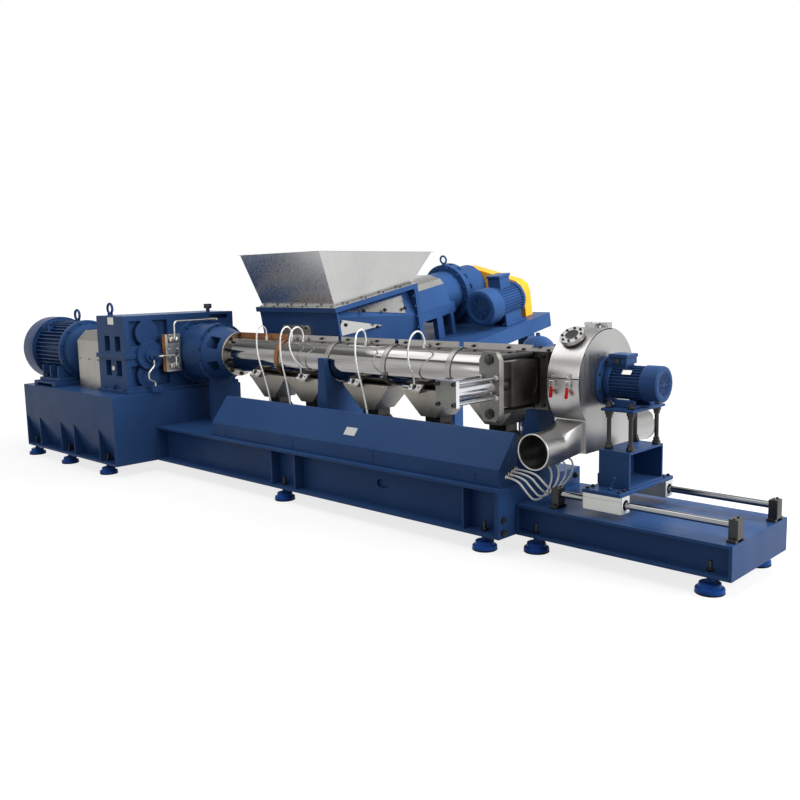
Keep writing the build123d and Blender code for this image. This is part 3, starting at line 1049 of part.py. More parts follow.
outlets = []
for side in (-1, 1):
    shell = loft([square_ring(side * HOOD_BOX_HALF, 0), round_ring(side * OUTLET_PIPE_START, OUTLET_RADIUS)],
                 ruled=True)
    shell -= loft([square_ring(side * HOOD_BOX_HALF, SHEET),
                   round_ring(side * OUTLET_PIPE_START, OUTLET_RADIUS - SHEET)], ruled=True)
    near = min(side * OUTLET_PIPE_START, side * OUTLET_REACH)
    far = max(side * OUTLET_PIPE_START, side * OUTLET_REACH)
    outlet_x = (mouth_left + mouth_right) / 2
    shell += round_y(near, far, outlet_x, OUTLET_Z, OUTLET_RADIUS) - round_y(near, far, outlet_x, OUTLET_Z,
                                                                            OUTLET_RADIUS - SHEET)
    outlets.append(shell)
pieces["outlet_ducts"] = Compound(children=outlets)

clamps = []
for share in (0.2, 0.7):
    clamp_x = HOOD_LEFT + HOOD_LENGTH * share
    seam_z = AXIS_HEIGHT + HOOD_RADIUS * math.sin(math.radians(DOOR_SEAM_ANGLE))
    clamp = block(clamp_x - CLAMP_WIDTH / 2, clamp_x + CLAMP_WIDTH / 2, -HOOD_RADIUS - 16, -HOOD_RADIUS + 30,
                  seam_z - CLAMP_HEIGHT, seam_z - MOVE_GAP)
    clamp -= round_x(HOOD_LEFT, HOOD_RIGHT, 0, AXIS_HEIGHT, HOOD_RADIUS)
    clamp += round_z(seam_z - CLAMP_HEIGHT - 75, seam_z - CLAMP_HEIGHT + 10, clamp_x, -HOOD_RADIUS - 10, 8)
    clamps.append(clamp)
pieces["toggle_clamps"] = Compound(children=clamps)

eyes = [lifting_eye(body_right - 80, DRIVE_AXIS_Y, AXIS_HEIGHT + MOTOR_RADIUS - 4, 48) - motor,
        lifting_eye(GEARBOX_LEFT + 100, -GEARBOX_FRONT + 90, GEARBOX_TOP, 44),
        FEEDER_PLACE * (lifting_eye(0, gear_ring_end, GEAR_UNIT_RADIUS - GEAR_UNIT_DROP - 8, 38) - gear_unit)]
pieces["lifting_eyes"] = Compound(children=eyes)

# Cables over the barrel, from glands on the covers to the heater boxes or the frame deck
gland_top = AXIS_HEIGHT + COVER_RADIUS + GLAND_HEIGHT
glands = []


def cover_gland(x):
    """A cable gland standing on a heater cover."""
    gland = round_z(AXIS_HEIGHT + COVER_RADIUS - 20, gland_top, x, GLAND_Y, 2 * CABLE_RADIUS)
    return gland - round_x(x - 50, x + 50, 0, AXIS_HEIGHT, COVER_RADIUS)


def loop_start(x, end_x):
    """The run from a cover gland up, over and down the front of the barrel."""
    step = (end_x - x) / 10
    return [(x, GLAND_Y, gland_top), (x, GLAND_Y, gland_top + 56), (x + step, GLAND_Y - 70, gland_top + 104),
            (x + 2 * step, GLAND_Y - 150, gland_top + 62), (x + 3 * step, GLAND_Y - 186, gland_top - 50)]


def deck_cable(name, x, end_x):
    """A cable from a cover gland down behind the guard to the frame deck."""
    route = loop_start(x, end_x)
    step = (end_x - x) / 10
    drop = gland_top - FRAME_TOP
    y = GLAND_Y - 206
    route += [(x + 4.5 * step, y, gland_top - 0.21 * drop), (x + 6.5 * step, y + 8, gland_top - 0.4 * drop),
              (x + 9 * step, y - 4, gland_top - 0.62 * drop), (end_x, y - 4, gland_top - 0.83 * drop),
              (end_x, y - 4, FRAME_TOP)]
    glands.append(cover_gland(x))
    cable(name, route)


def box_cable(name, x, duct):
    """A cable from a cover gland down into a heater box."""
    box_x = box_centres[duct]
    route = loop_start(x, box_x)
    box_y = -DUCT_DEPTH_HALF - BOX_DEPTH * 0.7
    box_top = duct_low - BAND_DEPTH + BOX_HEIGHT
    route += [(box_x - (box_x - x) * 0.3, box_y - 44, box_top + 120), (box_x, box_y, box_top + 64),
              (box_x, box_y, box_top)]
    glands.append(cover_gland(x))
    cable(name, route)


def zone_place(zone, share):
    """A place along a heater zone."""
    return zone_ends[zone] + share * (zone_ends[zone + 1] - zone_ends[zone])


deck_cable("barrel_cable_1", zone_place(0, 0.63), zone_place(1, 0.1))
deck_cable("barrel_cable_2", zone_place(1, 0.13), zone_place(1, 0.49))
box_cable("barrel_cable_3", zone_place(1, 0.36), 1)
deck_cable("barrel_cable_4", zone_place(2, 0.54), zone_place(2, 0.92))
box_cable("barrel_cable_5", zone_place(3, 0.5), 3)
pieces["cable_glands"] = Compound(children=glands)

# Cables from the guard's end plate to the stand under the screen changer
stand_face = FRAME_RIGHT - 4
end_drops = ((-425, 470, -75, 500), (-395, 482, -30, 515), (-362, 494, 20, 530), (-332, 506, 65, 545))
for number, (start_y, start_z, end_y, end_z) in enumerate(end_drops):
    out = guard_right + 86 + 22 * number
    low = RAIL_BASE_TOP + 24 + 20 * number
    cable(f"end_cable_{number + 1}", [
        (guard_right, start_y, start_z), (out, start_y, start_z),
        (out + 46, start_y + 36, (start_z + low) / 2 - 10), (out + 50, start_y + 108, low),
        (out + 50, (start_y + end_y) / 2 + 36, low + 4), (out + 46, end_y - 36, (end_z + low) / 2),
        (out, end_y, end_z), (stand_face, end_y, end_z)])

# Shift to the middle of the line and write one file for each piece
whole = Compound(children=[piece.moved(Location()) for piece in pieces.values()])
box = whole.bounding_box()
middle = Vector((box.min.X + box.max.X) / 2, (box.min.Y + box.max.Y) / 2, 0)
print("origin in the working frame", round(middle.X, 3), round(middle.Y, 3), "size", box.size)
os.makedirs("parts", exist_ok=True)
for name, piece in pieces.items():
    export_step(Location(-middle) * piece, f"parts/{name}.step")
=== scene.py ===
import bpy
import math
from mathutils import Matrix, Vector


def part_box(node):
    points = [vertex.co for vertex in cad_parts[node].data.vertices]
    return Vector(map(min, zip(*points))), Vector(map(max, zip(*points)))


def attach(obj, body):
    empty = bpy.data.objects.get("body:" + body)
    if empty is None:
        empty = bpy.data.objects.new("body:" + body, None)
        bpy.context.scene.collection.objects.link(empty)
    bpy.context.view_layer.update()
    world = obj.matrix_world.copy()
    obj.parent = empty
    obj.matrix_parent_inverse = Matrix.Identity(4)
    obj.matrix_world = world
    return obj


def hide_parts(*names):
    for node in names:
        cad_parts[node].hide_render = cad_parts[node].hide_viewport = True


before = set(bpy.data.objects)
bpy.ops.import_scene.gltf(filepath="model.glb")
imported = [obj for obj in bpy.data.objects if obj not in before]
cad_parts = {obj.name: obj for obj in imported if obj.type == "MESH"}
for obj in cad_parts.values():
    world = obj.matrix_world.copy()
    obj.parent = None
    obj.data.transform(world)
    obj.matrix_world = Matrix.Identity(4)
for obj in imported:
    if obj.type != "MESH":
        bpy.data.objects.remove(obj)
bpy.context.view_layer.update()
scene = bpy.context.scene
scene.view_settings.view_transform = "Standard"

# Camera
# The photograph looks along the line from the front right at eye height,
# a little over six metres from the pelletizer, with a slight roll to the left.
LENS = 39.77
eye = Vector((5.493, -5.6513, 1.70))
looking = Vector((-0.68985, 0.71089, -0.13686)).normalized()
above = Vector((-0.07924, 0.11377, 0.99033))
across = looking.cross(above).normalized()
above = across.cross(looking)
camera_data = bpy.data.cameras.new("photo_camera")
camera_data.sensor_fit = "HORIZONTAL"
camera_data.sensor_width = 36.0
camera_data.lens = LENS
camera = bpy.data.objects.new("photo_camera", camera_data)
scene.collection.objects.link(camera)
view = Matrix((across, above, -looking)).transposed().to_4x4()
camera.matrix_world = Matrix.Translation(eye) @ view
scene.camera = camera

# Studio light and pale floor
# The machine stands on a plain pale floor in a white room, and camera and metal see the same
# room: white walls, then a grey ceiling with a bright panel, higher than the picture reaches.
ROOM_LIGHT = 0.26
ROOM_BANDS = ((0.00, 1.00), (0.44, 1.00), (0.50, 0.22), (0.64, 0.42), (0.70, 1.00), (0.96, 0.55))
world = bpy.data.worlds.new("white_room")
scene.world = world
world.use_nodes = True
room = world.node_tree
room.nodes.clear()
room_out = room.nodes.new("ShaderNodeOutputWorld")
room_seen = room.nodes.new("ShaderNodeBackground")
room_where = room.nodes.new("ShaderNodeTexCoord")
room_split = room.nodes.new("ShaderNodeSeparateXYZ")
room_bands = room.nodes.new("ShaderNodeValToRGB")
for step, (height, level) in enumerate(ROOM_BANDS):
    if step < 2:
        band = room_bands.color_ramp.elements[step]
        band.position = height
    else:
        band = room_bands.color_ramp.elements.new(height)
    band.color = (level, level, level, 1.0)
room.links.new(room_where.outputs["Generated"], room_split.inputs[0])
room.links.new(room_split.outputs["Z"], room_bands.inputs["Fac"])
room.links.new(room_bands.outputs["Color"], room_seen.inputs["Color"])
room_lit = room.nodes.new("ShaderNodeBackground")
room_lit.inputs["Color"].default_value = (0.95, 0.97, 1.0, 1.0)
room_lit.inputs["Strength"].default_value = ROOM_LIGHT
room_mix = room.nodes.new("ShaderNodeMixShader")
room.links.new(room_lit.outputs[0], room_mix.inputs[1])
room.links.new(room_seen.outputs[0], room_mix.inputs[2])
room.links.new(room_mix.outputs[0], room_out.inputs["Surface"])


def background_rays(tree):
    """One for rays from the camera, from metal and through glass, nought for plain light."""
    rays = tree.nodes.new("ShaderNodeLightPath")
    total = rays.outputs["Is Camera Ray"]
    for kind in ("Is Glossy Ray", "Is Transmission Ray"):
        either = tree.nodes.new("ShaderNodeMath")
        either.operation = "MAXIMUM"
        tree.links.new(total, either.inputs[0])
        tree.links.new(rays.outputs[kind], either.inputs[1])
        total = either.outputs[0]
    return total


room.links.new(background_rays(room), room_mix.inputs["Fac"])


def soft_light(name, place, aim, wide, deep, power):
    """A studio soft box that stays out of the picture itself."""
    lamp = bpy.data.lights.new(name, "AREA")
    lamp.shape = "RECTANGLE"
    lamp.size = wide
    lamp.size_y = deep
    lamp.energy = power
    holder = bpy.data.objects.new(name, lamp)
    scene.collection.objects.link(holder)
    holder.location = place
    holder.rotation_euler = (Vector(aim) - Vector(place)).to_track_quat("-Z", "Y").to_euler()
    holder.visible_camera = False
    return holder


soft_light("overhead_box", (0.0, -2.2, 5.6), (0.0, -0.6, 0.6), 8.0, 4.0, 190.0)
soft_light("front_box", (-1.5, -7.5, 3.4), (-1.6, -1.2, 0.8), 5.0, 3.0, 40.0)
soft_light("end_box", (8.5, 0.5, 3.8), (0.5, -0.4, 1.0), 5.0, 3.0, 400.0)
feeder_light = soft_light("feeder_box", (3.4, 2.6, 4.4), (-0.3, 1.1, 1.4), 2.5, 2.5, 320.0)
feeder_light.visible_glossy = False

bpy.ops.object.select_all(action="DESELECT")
bpy.ops.mesh.primitive_plane_add(size=120.0, location=(0.0, 0.0, -0.001))
floor = bpy.context.object
floor.name = "studio_floor"
floor_paint = bpy.data.materials.new("floor_pale")
floor_paint.use_nodes = True
floor_tree = floor_paint.node_tree
floor_tree.nodes.clear()
floor_out = floor_tree.nodes.new("ShaderNodeOutputMaterial")
floor_matt = floor_tree.nodes.new("ShaderNodeBsdfDiffuse")
floor_matt.inputs["Color"].default_value = (0.26, 0.26, 0.26, 1.0)
floor_glow = floor_tree.nodes.new("ShaderNodeEmission")
floor_glow.inputs["Color"].default_value = (1.0, 1.0, 1.0, 1.0)
floor_level = floor_tree.nodes.new("ShaderNodeMath")
floor_level.operation = "MULTIPLY"
floor_where = floor_tree.nodes.new("ShaderNodeTexCoord")
floor_far = floor_tree.nodes.new("ShaderNodeVectorMath")
floor_far.operation = "LENGTH"
floor_fade = floor_tree.nodes.new("ShaderNodeMapRange")
floor_fade.inputs["From Min"].default_value = 3.0
floor_fade.inputs["From Max"].default_value = 9.0
floor_fade.inputs["To Min"].default_value = 0.78
floor_fade.inputs["To Max"].default_value = 1.0
floor_tree.links.new(floor_where.outputs["Object"], floor_far.inputs[0])
floor_tree.links.new(floor_far.outputs["Value"], floor_fade.inputs["Value"])
floor_tree.links.new(floor_fade.outputs["Result"], floor_level.inputs[1])
floor_sum = floor_tree.nodes.new("ShaderNodeAddShader")
floor_tree.links.new(background_rays(floor_tree), floor_level.inputs[0])
floor_tree.links.new(floor_level.outputs[0], floor_glow.inputs["Strength"])
floor_tree.links.new(floor_matt.outputs[0], floor_sum.inputs[0])
floor_tree.links.new(floor_glow.outputs[0], floor_sum.inputs[1])
floor_tree.links.new(floor_sum.outputs[0], floor_out.inputs["Surface"])
floor.data.materials.append(floor_paint)

# Heater and sensor cables
# White silicone-jacketed cables about 13 mm thick: five loop from the glands on the barrel
# strip to the frame or the heater boxes, four hang in bights from the guard's end plate.
CABLE_THICK = 0.013


def new_finish(name):
    """An empty material with its shader and the object's own coordinates."""
    finish = bpy.data.materials.new(name)
    finish.use_nodes = True
    tree = finish.node_tree
    place = tree.nodes.new("ShaderNodeTexCoord")
    return finish, tree, tree.nodes["Principled BSDF"], place.outputs["Object"]


def grain(tree, place, scale, stretch=(1.0, 1.0, 1.0), detail=4.0):
    """Noise over the surface, drawn out along an axis where the stretch is small."""
    mapping = tree.nodes.new("ShaderNodeMapping")
    mapping.inputs["Scale"].default_value = stretch
    noise = tree.nodes.new("ShaderNodeTexNoise")
    noise.inputs["Scale"].default_value = scale
    noise.inputs["Detail"].default_value = detail
    tree.links.new(place, mapping.inputs["Vector"])
    tree.links.new(mapping.outputs["Vector"], noise.inputs["Vector"])
    return noise.outputs["Fac"]


def tint(tree, factor, dark, light, socket):
    """Colour that drifts between two tones with the grain."""
    ramp = tree.nodes.new("ShaderNodeValToRGB")
    ramp.color_ramp.elements[0].position = 0.32
    ramp.color_ramp.elements[0].color = (*dark, 1.0)
    ramp.color_ramp.elements[1].position = 0.68
    ramp.color_ramp.elements[1].color = (*light, 1.0)
    tree.links.new(factor, ramp.inputs["Fac"])
    tree.links.new(ramp.outputs["Color"], socket)


def sheen(tree, factor, smooth, rough, socket):
    """Roughness that drifts between two values with the grain."""
    spread = tree.nodes.new("ShaderNodeMapRange")
    spread.inputs["From Min"].default_value = 0.3
    spread.inputs["From Max"].default_value = 0.7
    spread.inputs["To Min"].default_value = smooth
    spread.inputs["To Max"].default_value = rough
    tree.links.new(factor, spread.inputs["Value"])
    tree.links.new(spread.outputs["Result"], socket)


def relief(tree, factor, strength, depth, socket):
    """Fine unevenness of the surface."""
    bump = tree.nodes.new("ShaderNodeBump")
    bump.inputs["Strength"].default_value = strength
    bump.inputs["Distance"].default_value = depth
    tree.links.new(factor, bump.inputs["Height"])
    tree.links.new(bump.outputs["Normal"], socket)


def surface(name, metal, dark, light, mottle, wear, peel):
    """A finish: mottle is (scale, detail), wear (scale, smooth, rough) and peel (scale, strength, depth)."""
    finish, tree, shader, place = new_finish(name)
    shader.inputs["Metallic"].default_value = metal
    tint(tree, grain(tree, place, mottle[0], detail=mottle[1]), dark, light, shader.inputs["Base Color"])
    sheen(tree, grain(tree, place, wear[0]), wear[1], wear[2], shader.inputs["Roughness"])
    relief(tree, grain(tree, place, peel[0]), peel[1], peel[2], shader.inputs["Normal"])
    return finish


cable_jacket = surface("cable_jacket", 0.0, (0.72, 0.72, 0.70), (0.86, 0.86, 0.84), (9.0, 4.0),
                       (40.0, 0.38, 0.55), (320.0, 0.15, 0.0006))

FALL_TO_FRAME = ((-1.001, 1.230), (-1.001, 1.286), (-1.071, 1.334), (-1.151, 1.292), (-1.187, 1.180),
                 (-1.207, 1.058), (-1.199, 0.902), (-1.211, 0.722), (-1.211, 0.550), (-1.211, 0.411))
FALL_TO_BOX = FALL_TO_FRAME[:5] + ((-1.179, 1.073), (-1.135, 1.017), (-1.135, 0.953))
BARREL_CABLES = {
    "barrel_cable_1": (
        FALL_TO_FRAME, (-0.592, -0.592, -0.560, -0.528, -0.495, -0.447, -0.382, -0.302, -0.269, -0.269)),
    "barrel_cable_2": (
        FALL_TO_FRAME, (-0.251, -0.251, -0.228, -0.205, -0.183, -0.149, -0.104, -0.047, -0.025, -0.025)),
    "barrel_cable_3": (FALL_TO_BOX, (-0.106, -0.106, -0.094, -0.082, -0.070, -0.023, 0.013, 0.013)),
    "barrel_cable_4": (FALL_TO_FRAME, (0.633, 0.633, 0.657, 0.681, 0.705, 0.740, 0.788, 0.848, 0.871, 0.871)),
    "barrel_cable_5": (FALL_TO_BOX, (1.235, 1.235, 1.237, 1.239, 1.241, 1.248, 1.254, 1.254)),
}
CABLE_ROUTES = {}
for cable_name, (fall, places) in BARREL_CABLES.items():
    CABLE_ROUTES[cable_name] = [(x, y, z) for x, (y, z) in zip(places, fall)]
CABLE_ROUTES |= {
    "end_cable_1": [
        (2.245, -1.386, 0.470), (2.331, -1.386, 0.470), (2.377, -1.350, 0.385), (2.381, -1.278, 0.319),
        (2.381, -1.175, 0.323), (2.377, -1.072, 0.409), (2.331, -1.036, 0.500), (2.273, -1.036, 0.500),
    ],
    "end_cable_2": [
        (2.245, -1.356, 0.482), (2.353, -1.356, 0.482), (2.399, -1.320, 0.401), (2.403, -1.248, 0.339),
        (2.403, -1.138, 0.343), (2.399, -1.027, 0.427), (2.353, -0.991, 0.515), (2.273, -0.991, 0.515),
    ],
    "end_cable_3": [
        (2.245, -1.323, 0.494), (2.375, -1.323, 0.494), (2.421, -1.287, 0.416), (2.425, -1.215, 0.359),
        (2.425, -1.096, 0.363), (2.421, -0.977, 0.445), (2.375, -0.941, 0.530), (2.273, -0.941, 0.530),
    ],
    "end_cable_4": [
        (2.245, -1.293, 0.506), (2.397, -1.293, 0.506), (2.443, -1.257, 0.432), (2.447, -1.185, 0.379),
        (2.447, -1.059, 0.383), (2.443, -0.932, 0.462), (2.397, -0.896, 0.545), (2.273, -0.896, 0.545),
    ],
}
for cable_name, route in CABLE_ROUTES.items():
    curve = bpy.data.curves.new(cable_name + "_jacket", "CURVE")
    curve.dimensions = "3D"
    curve.bevel_depth = CABLE_THICK / 2
    curve.bevel_resolution = 4
    curve.resolution_u = 10
    curve.use_fill_caps = True
    spline = curve.splines.new("NURBS")
    spline.points.add(len(route) - 1)
    for knot, spot in zip(spline.points, route):
        knot.co = (*spot, 1.0)
    spline.order_u = 3
    spline.use_endpoint_u = True
    cable = bpy.data.objects.new(cable_name + "_jacket", curve)
    scene.collection.objects.link(cable)
    curve.materials.append(cable_jacket)
    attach(cable, "machine")
    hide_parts(cable_name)

# Drive base, main frame and rail base
# Welded plate and channel frames under the drive, the barrel and the pelletizer, sprayed
# in steel-blue machine enamel with a fine orange peel; the edges are ground round.
BLUE_LIGHT = (0.030, 0.079, 0.210)
BLUE_DEEP = (0.023, 0.063, 0.176)


def enamel(name, deep, light, gloss):
    """Sprayed machine enamel with slow colour drift, orange peel and dustier patches."""
    finish, tree, shader, place = new_finish(name)
    shader.inputs["Specular IOR Level"].default_value = 0.08
    tint(tree, grain(tree, place, 1.7, detail=6.0), deep, light, shader.inputs["Base Color"])
    sheen(tree, grain(tree, place, 5.0, detail=7.0), gloss, gloss + 0.14, shader.inputs["Roughness"])
    relief(tree, grain(tree, place, 260.0, detail=2.0), 0.10, 0.0006, shader.inputs["Normal"])
    return finish


def pick(obj):
    """Leave one object selected and active."""
    bpy.ops.object.select_all(action="DESELECT")
    obj.select_set(True)
    bpy.context.view_layer.objects.active = obj
    return obj


def shade_faces(obj):
    """Shade a piece smooth round its edges and evenly across its flat faces."""
    pick(obj)
    bpy.ops.object.shade_smooth_by_angle(angle=math.radians(32))
    flatten = obj.modifiers.new("flat_faces", "WEIGHTED_NORMAL")
    flatten.keep_sharp = True
    bpy.ops.object.modifier_apply(modifier="flat_faces")


def break_edges(obj, width, segments=2):
    """Round the sharp edges of a piece and shade what is left by angle."""
    pick(obj)
    bevel = obj.modifiers.new("broken_edges", "BEVEL")
    bevel.width = width
    bevel.segments = segments
    bevel.limit_method = "ANGLE"
    bevel.angle_limit = math.radians(38)
    bpy.ops.object.modifier_apply(modifier="broken_edges")
    shade_faces(obj)


def settle(obj, finish, body="machine"):
    """Bring a finished piece to the origin, give it its material and its moving body."""
    pick(obj)
    bpy.ops.object.transform_apply(location=True, rotation=True, scale=True)
    obj.data.materials.clear()
    obj.data.materials.append(finish)
    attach(obj, body)
    return obj


def dressed(node, finish, edge=0.003, body="machine"):
    """A copy of a carried-over piece with its seams merged and its edges broken."""
    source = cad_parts[node]
    mesh = source.data.copy()
    mesh.transform(source.matrix_world)
    piece = bpy.data.objects.new(node + "_dressed", mesh)
    scene.collection.objects.link(piece)
    pick(piece)
    bpy.ops.mesh.customdata_custom_splitnormals_clear()
    bpy.ops.object.mode_set(mode="EDIT")
    bpy.ops.mesh.select_all(action="SELECT")
    bpy.ops.mesh.remove_doubles(threshold=0.00002)
    bpy.ops.mesh.dissolve_limited(angle_limit=math.radians(0.5))
    bpy.ops.object.mode_set(mode="OBJECT")
    break_edges(piece, edge)
    settle(piece, finish, body)
    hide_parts(node)
    return piece


blue_enamel = enamel("blue_enamel", BLUE_DEEP, BLUE_LIGHT, 0.30)


def in_blue(node, edge, body="machine"):
    """A carried-over piece in the machine's blue."""
    return dressed(node, blue_enamel, edge, body)


in_blue("drive_base", 0.004)
in_blue("main_frame", 0.004)
in_blue("rail_base", 0.004)

# Levelling feet
# Bright blue two-step machine mounts on a black rubber sole, under the corners of each base;
# a black levelling screw with its nuts stands up through the bottom flange.
SOLE_RADIUS = 0.080
STUD_RADIUS = 0.012
FLANGE_TOP = 0.120
FOOT_INSET = 0.062
UPWARD = (0, 0, 1)


def turned(name, profile, sides=48):
    """A turned part about the Z axis, drawn out step by step from (radius, height) pairs."""
    bpy.ops.object.select_all(action="DESELECT")
    radius, height = profile[0]
    bpy.ops.mesh.primitive_circle_add(vertices=sides, radius=radius, fill_type="NGON",
                                      location=(0.0, 0.0, height))
    part = bpy.context.object
    part.name = name
    bpy.ops.object.mode_set(mode="EDIT")
    bpy.ops.mesh.select_all(action="SELECT")
    for (last_radius, last_height), (radius, height) in zip(profile, profile[1:]):
        bpy.ops.mesh.extrude_region_move(TRANSFORM_OT_translate={"value": (0.0, 0.0, height - last_height)})
        if radius != last_radius:
            ratio = radius / last_radius
            bpy.ops.transform.resize(value=(ratio, ratio, 1.0))
    bpy.ops.mesh.select_all(action="SELECT")
    bpy.ops.mesh.normals_make_consistent(inside=False)
    bpy.ops.object.mode_set(mode="OBJECT")
    bpy.ops.object.transform_apply(location=True, rotation=True, scale=True)
    bpy.ops.object.shade_smooth_by_angle(angle=math.radians(32))
    return part


def joined(parts, name):
    """Several meshes brought together as one piece."""
    bpy.context.view_layer.update()
    bpy.ops.object.select_all(action="DESELECT")
    for part in parts:
        part.select_set(True)
    bpy.context.view_layer.objects.active = parts[0]
    if len(parts) > 1:
        bpy.ops.object.join()
    parts[0].name = name
    return parts[0]


def twin_of(part, place):
    """A copy of a part with a mesh of its own, put in its place."""
    twin = bpy.data.objects.new(part.name, part.data.copy())
    scene.collection.objects.link(twin)
    twin.matrix_world = place
    return twin


def set_out(pattern, spots, name, finish, body="machine"):
    """Copies of one small part, each aimed along its direction, joined into one set."""
    copies = []
    for spot, heading in spots:
        turn = Vector(heading).to_track_quat("Z", "Y").to_matrix().to_4x4()
        copies.append(twin_of(pattern, Matrix.Translation(spot) @ turn))
    group = joined(copies, name)
    bpy.data.objects.remove(pattern)
    return settle(group, finish, body)


foot_enamel = enamel("foot_enamel", (0.012, 0.066, 0.300), (0.020, 0.092, 0.390), 0.24)
dressed("levelling_feet", foot_enamel, 0.009)
drive_low, drive_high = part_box("drive_base")
main_low, main_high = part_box("main_frame")
rail_low, rail_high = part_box("rail_base")
foot_rows = [(drive_low, drive_high, (-3.375, -2.654, -1.897)), (main_low, main_high, (0.127, 2.119)),
             (rail_low, rail_high, (2.392, 3.511))]
foot_spots = []
stud_spots = []
for base_low, base_high, foot_places in foot_rows:
    for foot_x in foot_places:
        stud_spots.append(((foot_x, base_low.y + FOOT_INSET, FLANGE_TOP), UPWARD))
        for foot_y in (base_low.y + FOOT_INSET, base_high.y - FOOT_INSET):
            foot_spots.append(((foot_x, foot_y, 0.0), UPWARD))
rubber = enamel("rubber_sole", (0.010, 0.010, 0.011), (0.024, 0.024, 0.025), 0.60)
sole = turned("sole", [(SOLE_RADIUS - 0.003, 0.0005), (SOLE_RADIUS, 0.003), (SOLE_RADIUS, 0.009),
                       (SOLE_RADIUS - 0.003, 0.012)], 40)
set_out(sole, foot_spots, "foot_soles", rubber)
# Blackened steel for bolts, nuts and small parts; the same finish also makes the black disc behind each motor
# grille, which is painted shade.
black_oxide_and_painted_shade = surface("black_oxide_and_painted_shade", 0.55, (0.016, 0.016, 0.018), (0.038, 0.037, 0.036), (7.0, 6.0),
                      (30.0, 0.28, 0.44), (220.0, 0.10, 0.0005))


def black_set(pattern, spots, name, body="machine"):
    """A set of small blackened parts."""
    return set_out(pattern, spots, name, black_oxide_and_painted_shade, body)


def hex_nut(width, height, stud, reach):
    """A hexagon nut with a chamfered crown and the screw end standing out of it."""
    nut = turned("nut", [(width * 0.94, 0.0), (width, height * 0.12), (width, height * 0.85),
                         (width * 0.86, height)], 6)
    end = turned("nut_stud", [(stud, 0.0), (stud, reach - stud * 0.3), (stud * 0.7, reach)], 16)
    return joined([nut, end], "hex_nut")


black_set(hex_nut(0.021, 0.018, STUD_RADIUS, 0.062), stud_spots, "levelling_screws")

# Base bolts
# Black hexagon bolts with chamfered nuts and bare screw ends tie the rail base and the
# end plates to the main frame's end.
TO_RIGHT = (1, 0, 0)
END_FACE = 2.277
end_bolts = [((END_FACE, -1.457, 0.220), TO_RIGHT), ((END_FACE, -1.457, 0.140), TO_RIGHT),
             ((END_FACE, -0.663, 0.360), TO_RIGHT), ((END_FACE, -0.663, 0.220), TO_RIGHT)]
black_set(hex_nut(0.020, 0.016, 0.011, 0.026), end_bolts, "frame_end_bolts")

# Main motor
# A cast-iron squirrel-cage motor in blue enamel: sheet cowl with a ring grille, long cooling
# fins, end shield and bell, standing on feet bolted to a slotted slide base.
MOTOR_START = Vector((-3.653, -1.490342, 1.056))
BASE_TOP = 0.768
ALONG_X = Matrix.Rotation(math.radians(90), 4, "Y")


def cut_plate(name, low, high, edge, segments=2):
    """A plate or block with broken edges, between two corners."""
    low, high = Vector(low), Vector(high)
    bpy.ops.object.select_all(action="DESELECT")
    bpy.ops.mesh.primitive_cube_add(size=1.0, location=(low + high) / 2)
    part = bpy.context.object
    part.name = name
    part.scale = high - low
    bpy.ops.object.transform_apply(location=True, rotation=True, scale=True)
    break_edges(part, edge, segments)
    return part


def choose_faces(part, heading):
    """In edit mode, the faces of a part that look along a direction."""
    pick(part)
    bpy.ops.object.mode_set(mode="EDIT")
    bpy.ops.mesh.select_mode(type="FACE")
    bpy.ops.mesh.select_all(action="DESELECT")
    bpy.ops.object.mode_set(mode="OBJECT")
    for face in part.data.polygons:
        face.select = face.normal.dot(Vector(heading)) > 0.95
    bpy.ops.object.mode_set(mode="EDIT")


def raise_panel(part, heading, margin, rise):
    """Inset the faces that look along a direction and lift the panel left inside."""
    choose_faces(part, heading)
    bpy.ops.mesh.inset(thickness=margin)
    lift = Vector(heading) * rise
    bpy.ops.mesh.extrude_region_move(TRANSFORM_OT_translate={"value": tuple(lift)})
    bpy.ops.object.mode_set(mode="OBJECT")
    bpy.ops.mesh.customdata_custom_splitnormals_clear()
    shade_faces(part)


def ring_of(part, count, first, last):
    """Copies of a part turned about the Z axis between two angles in degrees."""
    angles = [math.radians(first + (last - first) * step / (count - 1)) for step in range(count)]
    copies = [twin_of(part, Matrix.Rotation(angle, 4, "Z")) for angle in angles]
    bpy.data.objects.remove(part)
    return copies


